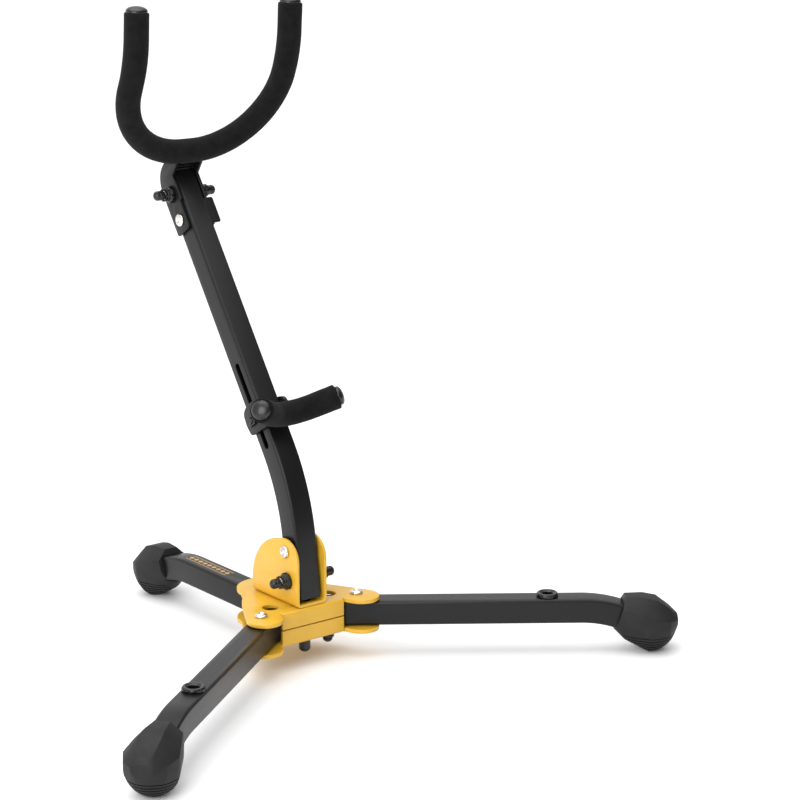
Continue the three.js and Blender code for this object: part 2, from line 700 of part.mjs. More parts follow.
// ---- yoke ----
function cheekOutline() {
  const { s, q } = YOKE_ROD;
  const shape = new THREE.Shape();
  shape.moveTo(2, YOKE_PIVOT_S - 10);
  shape.lineTo(20.8, YOKE_PIVOT_S - 10);
  shape.lineTo(20.8, 189);
  shape.quadraticCurveTo(20.8, 209, 2.4, 211);
  shape.lineTo(q + 1.5, s + 7.3);
  shape.absarc(q, s, YOKE_EAR_R, 80 * RAD, 270 * RAD);
  shape.lineTo(-0.5, 197);
  shape.lineTo(-0.5, 176);
  shape.lineTo(2, 175);
  return shape;
}

// Two cheeks joined by a web above the post and a collar across its front, with a flange
// turned out along the right cheek's front edge.
function yokeBracket() {
  const { inner, outer } = YOKE_CHEEK;
  const cheeks = SIDES.map(([, side]) => {
    const [x0, x1] = side < 0 ? [-outer, -inner] : [inner, outer];
    return acrossX(cheekOutline(), x0, x1);
  });
  const flange = block([inner + 1, 2, FLANGE.low], [FLANGE.x, 4.2, FLANGE.high]);
  const web = block([-inner - 1, -4, 206.4], [inner + 1, 14, 208.6]);
  const collar = block([-inner - 1, COLLAR.front, COLLAR.low], [inner + 1, COLLAR.back, COLLAR.high]);
  return piece('yoke_bracket', ontoUpper(cut(join([...cheeks, flange, web, collar]), [
    rod('x', RIVET_R + GAP, -20, 20, TUBE / 2, YOKE_PIVOT_S),
    rod('x', PIN.shank + GAP, -20, 20, TUBE / 2, YOKE_PIN_S),
    rod('x', YOKE_ROD_R + 0.9, -20, 20, YOKE_ROD.q, YOKE_ROD.s),
  ])), blackPaint());
}

// The U: level across the bottom, up the tilted plane on both sides, then bent more upright.
class YokeCurve extends THREE.Curve {
  getPoint(t, target = new THREE.Vector3()) {
    const flat = YOKE_HALF - YOKE_CORNER_R;
    const turn = YOKE_CORNER_R * Math.PI / 2;
    const length = flat + turn + YOKE_RISE;
    const run = Math.abs(2 * t - 1) * length;
    const angle = Math.min(Math.max(run - flat, 0), turn) / YOKE_CORNER_R;
    const x = Math.min(run, flat) + YOKE_CORNER_R * Math.sin(angle);
    const w = YOKE_CORNER_R * (1 - Math.cos(angle)) + Math.max(run - flat - turn, 0);
    const [y, z] = this.rise(w);
    return target.set(Math.sign(2 * t - 1) * x, y, z);
  }

  rise(w) {
    const base = upperPoint(YOKE_ROD.q, YOKE_ROD.s);
    const tilt = YOKE_TILT * RAD;
    const below = Math.min(w, YOKE_STRAIGHT);
    const bent = Math.min(Math.max(w - YOKE_STRAIGHT, 0), (tilt - YOKE_TIP_TILT * RAD) * YOKE_PRONG_R);
    const lean = tilt - bent / YOKE_PRONG_R;
    const above = w - below - bent;
    const forward = YOKE_PRONG_R * (Math.cos(lean) - Math.cos(tilt));
    const upward = YOKE_PRONG_R * (Math.sin(tilt) - Math.sin(lean));
    return [
      base.y - below * Math.sin(tilt) - forward - above * Math.sin(lean),
      base.z + below * Math.cos(tilt) + upward + above * Math.cos(lean),
    ];
  }
}

function yokeFoam(curve) {
  const { inner, outer } = YOKE_CHEEK;
  const room = YOKE_EAR_R + 0.5;
  const ears = SIDES.flatMap(([, side]) => {
    const [x0, x1] = side < 0 ? [-outer - 0.4, -inner + 0.4] : [inner - 0.4, outer + 0.4];
    return [
      ontoUpper(rod('x', room, x0, x1, YOKE_ROD.q, YOKE_ROD.s)),
      ontoUpper(block([x0, YOKE_ROD.q, YOKE_ROD.s - FOAM_R - 1], [x1, YOKE_ROD.q + 16, YOKE_ROD.s + room])),
    ];
  });
  return piece('yoke_foam', cut(sweep(circle(FOAM_R, YOKE_ROD_R + GAP), curve, 40, 6), ears), foamBlack());
}

function yoke() {
  const curve = new YokeCurve();
  const pivot = upperPoint(TUBE / 2, YOKE_PIVOT_S);
  const parts = new THREE.Group();
  parts.add(yokeBracket());
  parts.add(crossRivet('yoke_rivet', YOKE_CHEEK.outer, pivot.y, pivot.z));
  parts.add(piece('yoke_rod', sweep(circle(YOKE_ROD_R, STEM + 2 * GAP), curve, 40, 4), blackPaint()));
  parts.add(yokeFoam(curve));
  parts.add(endCap('yoke_cap_left', curve, 0, YOKE_CAP_R, 5));
  parts.add(endCap('yoke_cap_right', curve, 1, YOKE_CAP_R, 5));
  const pin = upperPoint(TUBE / 2, YOKE_PIN_S);
  parts.add(...sidePins('yoke', YOKE_CHEEK.outer, pin.y, pin.z));
  return parts;
}

// ---- the stand ----
function stand() {
  const group = new THREE.Group();
  group.add(hubPlate('hub_top_plate', TOP_PLATE_Z, LEG_Z + 0.2, hubHoles(LOCK_HOLE_R)));
  group.add(hubPlate('hub_bottom_plate', BOTTOM_PLATE_Z, LEG_Z - 0.2, hubHoles(PIN.shank + GAP)));
  group.add(clevisBracket());
  group.add(hubBolt());
  group.add(hubBoltCap());
  group.add(standingRivet('left_leg_rivet', -PIVOT.x, PIVOT.y));
  group.add(standingRivet('right_leg_rivet', PIVOT.x, PIVOT.y));
  group.add(standingRivet('back_leg_rivet', 0, BACK_RIVET_Y));
  group.add(...legLocks());
  group.add(...SIDES.map(([label, side]) => frontLeg(label, side)));
  group.add(backLeg());
  group.add(crossRivet('post_rivet', CLEVIS_HALF, POST_PIVOT.y, POST_PIVOT.z));
  group.add(...sidePins('post', CLEVIS_HALF, ...clevisPin()));
  group.add(postTube());
  group.add(postPlug());
  group.add(lowerRest());
  group.add(yoke());
  return group;
}

// The origin is the middle of the stand's footprint box, on the floor.
function centred(group) {
  group.updateMatrixWorld(true);
  const box = new THREE.Box3().setFromObject(group, true);
  const middle = box.getCenter(new THREE.Vector3());
  group.position.set(-middle.x, -middle.y, -box.min.z);
  return group;
}

export default centred(stand());
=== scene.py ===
import math
import bpy
import bmesh
from mathutils import Matrix, Vector, noise


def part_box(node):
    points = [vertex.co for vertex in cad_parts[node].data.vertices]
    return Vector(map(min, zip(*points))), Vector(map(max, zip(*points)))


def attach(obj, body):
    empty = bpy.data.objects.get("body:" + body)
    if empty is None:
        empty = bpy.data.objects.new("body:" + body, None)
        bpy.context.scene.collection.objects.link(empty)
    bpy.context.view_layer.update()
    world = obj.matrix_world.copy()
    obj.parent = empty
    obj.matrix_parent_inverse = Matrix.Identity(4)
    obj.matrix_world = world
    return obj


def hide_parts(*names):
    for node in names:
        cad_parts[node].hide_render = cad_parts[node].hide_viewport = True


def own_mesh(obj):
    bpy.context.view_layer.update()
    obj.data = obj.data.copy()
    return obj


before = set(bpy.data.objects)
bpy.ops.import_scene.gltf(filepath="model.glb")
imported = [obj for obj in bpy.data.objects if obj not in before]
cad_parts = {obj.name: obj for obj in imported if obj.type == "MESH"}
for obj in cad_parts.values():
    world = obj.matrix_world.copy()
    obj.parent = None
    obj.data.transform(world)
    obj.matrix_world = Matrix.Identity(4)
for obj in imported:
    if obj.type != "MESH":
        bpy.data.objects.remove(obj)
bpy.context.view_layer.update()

# ---- driving dimensions, in millimetres and degrees; x = 0 is the mirror plane ----
MM = 0.001
GAP = 0.3                        # between neighbouring pieces
EDGE = 0.45                      # rounding of cut sheet edges
TUBE, WALL, CORNER, BORE_CORNER = 20.0, 1.5, 2.4, 0.9
RIVET_R, RIVET_HEAD_R, RIVET_HEAD_H = 3.0, 5.1, 2.6
PIN_HOLE_R, BOLT_HOLE_R, ROD_BORE_R = 3.1, 2.8, 2.5
FOAM_R, YOKE_CAP_R, REST_CAP_R = 9.8, 8.4, 7.6
PIN_R, PIN_DOME_H, PIN_REACH = 3.9, 3.12, 15.8
SIDE_PIN_END, LEG_PIN_END, LEG_PIN_REACH = 10.6, -3.9, 12.2

# hub plates: the lip's front face, an ear round each rivet, and the seam between the two lips
PLATE_T, LIP_HALF, LIP_Y, HALF_SEAM = 3.2, 29.6, -30.0, 0.5
EAR_X, EAR_Y, EAR_R = 46.5, -30.5, 14.0
BACK_EAR_Y, BACK_EAR_R = 32.5, 24.3
PIVOT_X, PIVOT_Y = 45.7, -24.6
BACK_RIVET_Y, HUB_BOLT_Y = 38.0, -17.6
LOCK_OFFSET, LOCK_HOLE_R = 22.9, 6.6           # from a pivot to its lock pin

# legs: reaches are measured from the leg's rivet, and from y = 0 on the back leg
LEG_SPREAD, LEG_Z = 53.5, 34.9
LEG_INNER, LEG_STRAIGHT, LEG_BEND_R, LEG_BEND, LEG_END = 34.0, 178.0, 95.0, 21.5, 20.5
FOOT_REACH, BACK_FOOT_Y, INSERT_REACH = 240.0, 200.8, 151.2
INSERT_HOLE_R = 6.5

# clevis and post: the post's upper part starts at UPPER_Y, UPPER_Z, and (q, s) run across and along it
CLEVIS_T, CLEVIS_HALF, CLEVIS_FLOOR, CLEVIS_FRONT, CLEVIS_BACK = 2.2, 14.1, 49.1, -28.5, 32.5
POST_Y, POST_Z = -12.4, 91.5
LOWER_LEAN, UPPER_LEAN = 7.0, 34.4
BEND_Y, BEND_Z, BEND_R = -7.5, 134.8, 165.0
POST_FOOT_Z, POST_TOP = 53.4, 201.5
UPPER_Y, UPPER_Z = 27.7, 203.9
SLOT_LOW, SLOT_HIGH, SLOT_W = -37.0, 36.0, 5.6
CHEEK_IN = 10.4                  # inner face of a cheek that lies beside the post

# lower rest
REST_S, REST_BAR_S, REST_BAR_Q, REST_HALF = -12.0, -20.0, -17.5, 13.6
REST_BEND, REST_BEND_R, REST_ARM, REST_ROD_R = 40.0, 31.8, 20.3, 4.0
KNOB_X, KNOB_T, KNOB_R = 15.4, 9.0, 9.5

# yoke: the U lies in a tilted plane, and its prongs bend more upright near their tips
YOKE_PIVOT_S = 162.5
YOKE_PIN_S = YOKE_PIVOT_S + LOCK_OFFSET
YOKE_ROD_S, YOKE_ROD_Q, YOKE_ROD_R = 210.3, -15.0, 5.0
CHEEK_OUT, YOKE_EAR_R = 12.7, 7.5
YOKE_HALF, YOKE_CORNER_R, YOKE_TILT, YOKE_RISE = 71.0, 66.0, 28.0, 59.0
YOKE_STRAIGHT, YOKE_PRONG_R, YOKE_TIP_TILT = 62.0, 105.0, 4.0

# camera: its place is measured from the post's pivot rivet
CAMERA_PLACE, CAMERA_LENS = (-1056.8, -1473.7, 579.1), 109.77
CAMERA_AZIMUTH, CAMERA_ELEVATION = -38.11, 14.24

TOP_PLATE_Z = LEG_Z + TUBE / 2 + 0.7
BOTTOM_PLATE_Z = LEG_Z - TUBE / 2 - 0.7 - PLATE_T
SIDES = (("left", -1), ("right", 1))


def node_middle(node):
    low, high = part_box(node)
    return (Vector(low) + Vector(high)) / 2


# ---- places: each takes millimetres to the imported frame's metres ----
ANCHOR = node_middle("post_rivet")
BASE = Matrix.Translation((0, ANCHOR.y - POST_Y * MM, 0)) @ Matrix.Scale(MM, 4)
LEANING = Matrix.Rotation(math.radians(-UPPER_LEAN), 4, "X")
UPPER = BASE @ Matrix.Translation((0, UPPER_Y, UPPER_Z)) @ LEANING      # along the post's upper part
ALONG_X = Matrix.Rotation(math.pi / 2, 4, "Y")     # a turned piece's axis, from Z to X


def leg_place(side):
    if side == 0:
        return BASE @ Matrix.Rotation(math.pi / 2, 4, "Z")
    turn = math.radians(-90 + side * LEG_SPREAD)
    return BASE @ Matrix.Translation((side * PIVOT_X, PIVOT_Y, 0)) @ Matrix.Rotation(turn, 4, "Z")


# ---- materials ----
def material(name):
    made = bpy.data.materials.new(name)
    made.use_nodes = True
    shader = made.node_tree.nodes["Principled BSDF"]
    return made, made.node_tree, shader


def place_texture(tree, kind, scale, **inputs):
    """A procedural texture in object space, in metres."""
    coords = tree.nodes.new("ShaderNodeTexCoord")
    texture = tree.nodes.new(kind)
    tree.links.new(coords.outputs["Object"], texture.inputs["Vector"])
    texture.inputs["Scale"].default_value = scale
    for socket, value in inputs.items():
        texture.inputs[socket].default_value = value
    return texture


def ramp(tree, source, stops):
    node = tree.nodes.new("ShaderNodeValToRGB")
    tree.links.new(source, node.inputs["Fac"])
    for i, (position, value) in enumerate(stops):
        stop = node.color_ramp.elements[i] if i < 2 else node.color_ramp.elements.new(position)
        stop.position = position
        stop.color = (*value, 1) if isinstance(value, tuple) else (value, value, value, 1)
    return node.outputs["Color"]


def bump(tree, shader, layers):
    """Chains bump layers: (height output, strength, distance in metres)."""
    normal = None
    for height, strength, distance in layers:
        node = tree.nodes.new("ShaderNodeBump")
        node.inputs["Strength"].default_value = strength
        node.inputs["Distance"].default_value = distance
        tree.links.new(height, node.inputs["Height"])
        if normal:
            tree.links.new(normal, node.inputs["Normal"])
        normal = node.outputs["Normal"]
    tree.links.new(normal, shader.inputs["Normal"])


def tone(color, factor):
    return tuple(min(1.0, channel * factor) for channel in color)


def powder_coat(name, color, rough, peel=0.25, coat=0.0, shine=0.5):
    """Baked powder paint: a fine orange peel, faint cloudiness and slightly uneven gloss."""
    made, tree, shader = material(name)
    cloud = place_texture(tree, "ShaderNodeTexNoise", 28, Detail=3.0)
    peel_texture = place_texture(tree, "ShaderNodeTexNoise", 900, Detail=2.0)
    grain = place_texture(tree, "ShaderNodeTexNoise", 3200, Detail=1.0)
    shade = ramp(tree, cloud.outputs["Fac"], [(0.3, tone(color, 0.93)), (0.7, tone(color, 1.05))])
    tree.links.new(shade, shader.inputs["Base Color"])
    gloss = ramp(tree, peel_texture.outputs["Fac"], [(0.3, rough - 0.04), (0.7, rough + 0.05)])
    tree.links.new(gloss, shader.inputs["Roughness"])
    shader.inputs["Coat Weight"].default_value = coat
    shader.inputs["Specular IOR Level"].default_value = shine
    shader.inputs["Coat Roughness"].default_value = 0.22
    bump(tree, shader, [
        (peel_texture.outputs["Fac"], peel, 0.0002),
        (grain.outputs["Fac"], 0.12, 0.0001),
    ])
    return made


def moulded_plastic(name, color, rough):
    """Injection-moulded plastic with a faint matt bloom."""
    made, tree, shader = material(name)
    bloom = place_texture(tree, "ShaderNodeTexNoise", 160, Detail=4.0)
    grain = place_texture(tree, "ShaderNodeTexNoise", 2600, Detail=1.0)
    shade = ramp(tree, bloom.outputs["Fac"], [(0.35, tone(color, 0.85)), (0.7, tone(color, 1.25))])
    tree.links.new(shade, shader.inputs["Base Color"])
    gloss = ramp(tree, bloom.outputs["Fac"], [(0.3, rough - 0.05), (0.75, rough + 0.09)])
    tree.links.new(gloss, shader.inputs["Roughness"])
    bump(tree, shader, [(grain.outputs["Fac"], 0.1, 0.0001)])
    return made


def polished_steel(name, color, rough):
    """Plated steel with faint clouding and uneven gloss."""
    made, tree, shader = material(name)
    wear = place_texture(tree, "ShaderNodeTexNoise", 240, Detail=3.0, Roughness=0.5)
    spots = place_texture(tree, "ShaderNodeTexNoise", 900, Detail=2.0)
    shade = ramp(tree, wear.outputs["Fac"], [(0.3, tone(color, 0.82)), (0.65, color)])
    tree.links.new(shade, shader.inputs["Base Color"])
    gloss = ramp(tree, wear.outputs["Fac"], [(0.35, rough - 0.03), (0.75, rough + 0.1)])
    tree.links.new(gloss, shader.inputs["Roughness"])
    shader.inputs["Metallic"].default_value = 1.0
    bump(tree, shader, [(spots.outputs["Fac"], 0.05, 0.0001)])
    return made


def closed_cell_foam(name):
    """Black foam sleeve: fine pores, soft lumps, faintly greyer where it has been handled."""
    made, tree, shader = material(name)
    pores = place_texture(tree, "ShaderNodeTexVoronoi", 1500, Randomness=1.0)
    fine = place_texture(tree, "ShaderNodeTexNoise", 1900, Detail=4.0, Roughness=0.7)
    lumps = place_texture(tree, "ShaderNodeTexNoise", 140, Detail=4.0)
    dark, light = (0.0035, 0.0035, 0.0037), (0.0075, 0.0075, 0.0078)
    shade = ramp(tree, lumps.outputs["Fac"], [(0.3, dark), (0.72, light)])
    tree.links.new(shade, shader.inputs["Base Color"])
    gloss = ramp(tree, fine.outputs["Fac"], [(0.3, 0.82), (0.7, 0.98)])
    tree.links.new(gloss, shader.inputs["Roughness"])
    shader.inputs["Specular IOR Level"].default_value = 0.12
    shader.inputs["Sheen Weight"].default_value = 0.03
    shader.inputs["Sheen Roughness"].default_value = 0.55
    bump(tree, shader, [
        (lumps.outputs["Fac"], 0.35, 0.0009),
        (pores.outputs["Distance"], 0.55, 0.00035),
        (fine.outputs["Fac"], 0.4, 0.0002),
    ])
    return made


def boot_rubber(name):
    """Moulded rubber: dusty charcoal with a fine matt skin."""
    made, tree, shader = material(name)
    dust = place_texture(tree, "ShaderNodeTexNoise", 70, Detail=6.0, Roughness=0.6)
    skin = place_texture(tree, "ShaderNodeTexNoise", 1500, Detail=3.0)
    dark, light = (0.0065, 0.0065, 0.007), (0.013, 0.0127, 0.013)
    shade = ramp(tree, dust.outputs["Fac"], [(0.3, dark), (0.72, light)])
    tree.links.new(shade, shader.inputs["Base Color"])
    gloss = ramp(tree, skin.outputs["Fac"], [(0.3, 0.50), (0.7, 0.64)])
    shader.inputs["Specular IOR Level"].default_value = 0.3
    tree.links.new(gloss, shader.inputs["Roughness"])
    bump(tree, shader, [(dust.outputs["Fac"], 0.08, 0.0006), (skin.outputs["Fac"], 0.3, 0.00015)])
    return made


YELLOW = powder_coat("amber_powder_coat", (0.665, 0.382, 0.026), 0.36, coat=0.1)
BLACK = powder_coat("black_powder_coat", (0.0065, 0.0065, 0.0072), 0.32, peel=0.3, shine=0.28)
PLASTIC = moulded_plastic("black_plastic", (0.0045, 0.0045, 0.005), 0.24)
STEEL = polished_steel("plated_steel", (0.82, 0.80, 0.77), 0.17)
DARK_STEEL = polished_steel("blackened_steel", (0.055, 0.055, 0.06), 0.32)
FOAM = closed_cell_foam("black_foam")
RUBBER = boot_rubber("boot_rubber")
GOLD = powder_coat("gold_print", (0.50, 0.30, 0.09), 0.45, peel=0.1)


# ---- outlines ----
def arc(x, y, radius, start, end, steps=12):
    turns = [math.radians(start + (end - start) * i / steps) for i in range(steps + 1)]
    return [(x + radius * math.cos(a), y + radius * math.sin(a)) for a in turns]


def curve3(a, b, c, steps=8):
    """Points of a quadratic curve from a to c, pulled towards b."""
    points = []
    for i in range(steps + 1):
        t = i / steps
        weights = ((1 - t) ** 2, 2 * t * (1 - t), t ** 2)
        points.append(tuple(sum(w * p[k] for w, p in zip(weights, (a, b, c))) for k in (0, 1)))
    return points


def rounded(points, radius, steps=4, closed=True):
    """The outline with each corner rounded."""
    made = []
    count = len(points)
    for i, corner in enumerate(points):
        if not closed and i in (0, count - 1):
            made.append(corner)
            continue
        corner = Vector(corner)
        before = Vector(points[i - 1]) - corner
        after = Vector(points[(i + 1) % count]) - corner
        reach = min(radius, before.length * 0.45, after.length * 0.45)
        start = corner + before.normalized() * reach
        end = corner + after.normalized() * reach
        made += curve3(start, corner, end, steps)
    return made


def rounded_square(side, radius, steps=5):
    c = side / 2 - radius
    points = []
    for i, (x, y) in enumerate(((c, c), (-c, c), (-c, -c), (c, -c))):
        points += arc(x, y, radius, 90 * i, 90 * i + 90, steps)
    return points


def tube_section():
    return rounded_square(TUBE, CORNER, 6)


def bore_section():
    return rounded_square(TUBE - 2 * WALL, BORE_CORNER, 6)


def ring(radius, sides=24, x=0.0, y=0.0):
    turns = [2 * math.pi * i / sides for i in range(sides)]
    return [(x + radius * math.cos(a), y + radius * math.sin(a)) for a in turns]


# ---- meshes, in millimetres ----
def new_object(name, data):
    made = bpy.data.objects.new(name, data)
    bpy.context.scene.collection.objects.link(made)
    return made


def duplicate(made):
    return new_object(made.name, made.data.copy())


def mesh_object(name, verts, faces):
    mesh = bpy.data.meshes.new(name)
    mesh.from_pydata([tuple(v) for v in verts], [], faces)
    bm = bmesh.new()
    bm.from_mesh(mesh)
    bmesh.ops.remove_doubles(bm, verts=bm.verts, dist=1e-4)
    bmesh.ops.recalc_face_normals(bm, faces=bm.faces)
    bm.to_mesh(mesh)
    bm.free()
    return new_object(name, mesh)


def settle(made):
    """Applies every modifier."""
    bpy.context.view_layer.update()
    depsgraph = bpy.context.evaluated_depsgraph_get()
    mesh = bpy.data.meshes.new_from_object(made.evaluated_get(depsgraph))
    made.modifiers.clear()
    old = made.data
    made.data = mesh
    bpy.data.meshes.remove(old)
    return made


def boolean(made, tool, operation):
    step = made.modifiers.new("step", "BOOLEAN")
    step.operation = operation
    step.solver = "EXACT"
    step.object = tool
    settle(made)
    bpy.data.objects.remove(tool)
    return made


def cut(made, *tools):
    for tool in tools:
        boolean(made, tool, "DIFFERENCE")
    return made


def weld(made, *others):
    for other in others:
        boolean(made, other, "UNION")
    return made


def lathe(profile, sides=40):
    """A body of revolution about Z from (radius, height) pairs."""
    verts, faces, rows = [], [], []
    for radius, height in profile:
        if radius < 1e-6:
            rows.append([len(verts)] * sides)
            verts.append((0, 0, height))
        else:
            rows.append(list(range(len(verts), len(verts) + sides)))
            verts += [(x, y, height) for x, y in ring(radius, sides)]
    closed = profile[0][0] > 1e-6 and profile[-1][0] > 1e-6
    pairs = list(zip(rows, rows[1:])) + ([(rows[-1], rows[0])] if closed else [])
    for a, b in pairs:
        for i in range(sides):
            k = (i + 1) % sides
            face = dict.fromkeys((a[i], a[k], b[k], b[i]))
            if len(face) > 2:
                faces.append(tuple(face))
    return mesh_object("turned", verts, faces)


def frames_along(path):
    """A tangent and two side vectors at each point, carried along without twisting."""
    tangents = []
    for i in range(len(path)):
        ahead = path[min(i + 1, len(path) - 1)] - path[i]
        behind = path[i] - path[max(i - 1, 0)]
        tangents.append((ahead.normalized() + behind.normalized()).normalized())
    side = Vector((1, 0, 0)) if abs(tangents[0].x) < 0.9 else Vector((0, 1, 0))
    frames = []
    for tangent in tangents:
        side = (side - tangent * side.dot(tangent)).normalized()
        frames.append((tangent, side, tangent.cross(side)))
    return frames


def soften_ends(stations, lip, half):
    """Rounds a sweep's two end edges over the depth lip, with three stations in place of the last."""
    for end, sign in ((0, 1), (-1, -1)):
        point, axes, _ = stations[end]
        soft = []
        for a in (math.pi / 2, math.pi / 4, 0.0):
            place = point + axes[0] * sign * lip * (1 - math.sin(a))
            soft.append((place, axes, 1 - lip * (1 - math.cos(a)) / half))
        if sign > 0:
            stations[:1] = soft
        else:
            stations[-1:] = soft[::-1]


def tube_skin(verts, faces, section, stations, swell=None):
    """One swept skin. Returns the indices of its first and last rows."""
    first = len(verts)
    count = len(section)
    for point, (_, side, up), scale in stations:
        for u, v in section:
            reach = scale * (swell(point) if swell else 1.0)
            verts.append(point + (side * u + up * v) * reach)
    for row in range(len(stations) - 1):
        a = first + row * count
        join_rows(faces, a, a + count, count)
    return first, first + (len(stations) - 1) * count


def join_rows(faces, a, b, count):
    faces.extend((a + i, a + (i + 1) % count, b + (i + 1) % count, b + i) for i in range(count))


def sweep(path, outer, inner=None, lip=0.0, swell=None):
    """A section swept along a path. inner makes it hollow, and lip rounds the outer end edges."""
    stations = [(point, axes, 1.0) for point, axes in zip(path, frames_along(path))]
    if lip:
        soften_ends(stations, lip, max(abs(u) for u, _ in outer))
    count = len(outer)
    verts, faces = [], []
    low, high = tube_skin(verts, faces, outer, stations, swell)
    if inner is None:
        faces.append(tuple(range(low, low + count)))
        faces.append(tuple(range(high, high + count)))
    else:
        inner_low, inner_high = tube_skin(verts, faces, inner, stations)
        join_rows(faces, low, inner_low, count)
        join_rows(faces, high, inner_high, count)
    return mesh_object("swept", verts, faces)


def sheet(loops, depth, edge=EDGE):
    """A flat blank of that thickness on z = 0, with every cut edge rounded. loops[0] is its outline."""
    curve = bpy.data.curves.new("sheet", "CURVE")
    curve.dimensions = "2D"
    curve.fill_mode = "BOTH"
    curve.extrude = depth / 2 - edge
    curve.bevel_depth = edge
    curve.bevel_resolution = 2
    curve.offset = -edge
    for points in loops:
        spline = curve.splines.new("POLY")
        spline.points.add(len(points) - 1)
        spline.use_cyclic_u = True
        for target, (u, v) in zip(spline.points, points):
            target.co = (u, v, 0, 1)
    holder = new_object("sheet", curve)
    bpy.context.view_layer.update()
    depsgraph = bpy.context.evaluated_depsgraph_get()
    mesh = bpy.data.meshes.new_from_object(holder.evaluated_get(depsgraph))
    bpy.data.objects.remove(holder)
    bpy.data.curves.remove(curve)
    bm = bmesh.new()
    bm.from_mesh(mesh)
    bmesh.ops.translate(bm, verts=bm.verts, vec=(0, 0, depth / 2))
    bmesh.ops.remove_doubles(bm, verts=bm.verts, dist=1e-3)
    bmesh.ops.recalc_face_normals(bm, faces=bm.faces)
    bm.to_mesh(mesh)
    bm.free()
    return new_object("sheet", mesh)


def turned_to(made, matrix):
    made.data.transform(matrix)
    return made


def across_x(made, x0):
    """Stands a blank drawn in (y, z) up, from x0 towards +X."""
    return turned_to(made, Matrix(((0, 0, 1, x0), (1, 0, 0, 0), (0, 1, 0, 0), (0, 0, 0, 1))))


def about_z(degrees):
    return Matrix.Rotation(math.radians(degrees), 4, "Z")


def raised(made, z):
    return turned_to(made, Matrix.Translation((0, 0, z)))


def block(low, high, edge=0.0):
    outline = [(low[0], low[1]), (high[0], low[1]), (high[0], high[1]), (low[0], high[1])]
    if edge:
        return raised(sheet([rounded(outline, edge)], high[2] - low[2], edge), low[2])
    verts = [(x, y, z) for z in (low[2], high[2]) for x, y in outline]
    sides = [(i, (i + 1) % 4, (i + 1) % 4 + 4, i + 4) for i in range(4)]
    return mesh_object("block", verts, [(0, 1, 2, 3), (4, 5, 6, 7)] + sides)


def drill(axis, radius, start, end, u, v):
    """A plain cylinder, used as a cutter."""
    made = lathe([(0, start), (radius, start), (radius, end), (0, end)], 32)
    if axis == "x":
        return turned_to(made, Matrix.Translation((0, u, v)) @ ALONG_X)
    return turned_to(made, Matrix.Translation((u, v, 0)))


def add(name, made, place, finish, body, *nodes, smooth=32):
    """Names a piece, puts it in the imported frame, gives it its finish and hands it to its body."""
    made.name = name
    made.data.name = name
    made.data.transform(place)
    if place.determinant() < 0:
        made.data.flip_normals()
    made.data.materials.clear()
    made.data.materials.append(finish)
    for face in made.data.polygons:
        face.use_smooth = True
        face.material_index = 0
    made.data.set_sharp_from_angle(angle=math.radians(smooth))
    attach(made, body)
    if nodes:
        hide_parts(*nodes)
    return made


# ---- hub ----
def plate_outline():
    """An ear at each front corner, a waisted flank and a broad round back."""
    ear = arc(EAR_X, EAR_Y, EAR_R, -150, 26, 26)
    flank = curve3(ear[-1], (44, 4), (38, 13), 10) + curve3((38, 13), (34, 19), (30, 23), 6)[1:]
    right = [(LIP_HALF, LIP_Y + PLATE_T)] + ear + flank[1:]
    left = [(-x, y) for x, y in reversed(right)]
    return right + arc(0, BACK_EAR_Y, BACK_EAR_R, 5, 175, 36) + left


def lock_point(side):
    spread = math.radians(LEG_SPREAD)
    return side * (PIVOT_X - LOCK_OFFSET * math.sin(spread)), PIVOT_Y + LOCK_OFFSET * math.cos(spread)


def plate_holes(lock_radius):
    tight = RIVET_R + GAP
    fastened = ((-PIVOT_X, PIVOT_Y), (PIVOT_X, PIVOT_Y), (0, BACK_RIVET_Y), (0, HUB_BOLT_Y))
    holes = [ring(tight, 24, x, y) for x, y in fastened]
    return holes + [ring(lock_radius, 32, *lock_point(side)) for _, side in SIDES]


def front_lip(z, seam):
    """The fold across a plate's front edge, down or up to the seam, with a round outer bend."""
    up = 1 if seam > z else -1
    outer = z if up > 0 else z + PLATE_T
    back = LIP_Y + PLATE_T
    profile = [(LIP_Y, seam)]
    profile += curve3((LIP_Y, outer + up * PLATE_T), (LIP_Y, outer), (back, outer), 8)
    profile += [(back + 1.2, outer), (back + 1.2, outer + up * (PLATE_T - 0.4))]
    profile += curve3((back + 0.6, outer + up * (PLATE_T - 0.1)), (back - 0.5, outer + up * PLATE_T),
                      (back - 0.6, outer + up * (PLATE_T + 1.2)), 4)
    profile.append((back - 0.6, seam))
    return across_x(sheet([profile], 2 * LIP_HALF), -LIP_HALF)


def hub_plate(name, node, z, seam, lock_radius):
    plate = raised(sheet([plate_outline()] + plate_holes(lock_radius), PLATE_T), z)
    add(name, weld(plate, front_lip(z, seam)), BASE, YELLOW, "hub", node)


def clevis_section():
    """The folded channel, seen along Y, up to just above its bends."""
    bend = 3.4
    h, i, z = CLEVIS_HALF, CLEVIS_HALF - CLEVIS_T, CLEVIS_FLOOR + bend
    top = z + 2
    points = [(-h, top)] + arc(bend - h, z, bend, 180, 270, 8) + arc(h - bend, z, bend, 270, 360, 8)
    points += [(h, top), (i, top)] + arc(h - bend, z, bend - CLEVIS_T, 0, -90, 5)
    return points + arc(bend - h, z, bend - CLEVIS_T, -90, -180, 5) + [(-i, top)]


def clevis_pin_point():
    lean = math.radians(LOWER_LEAN)
    return POST_Y - LOCK_OFFSET * math.sin(lean), POST_Z - LOCK_OFFSET * math.cos(lean)


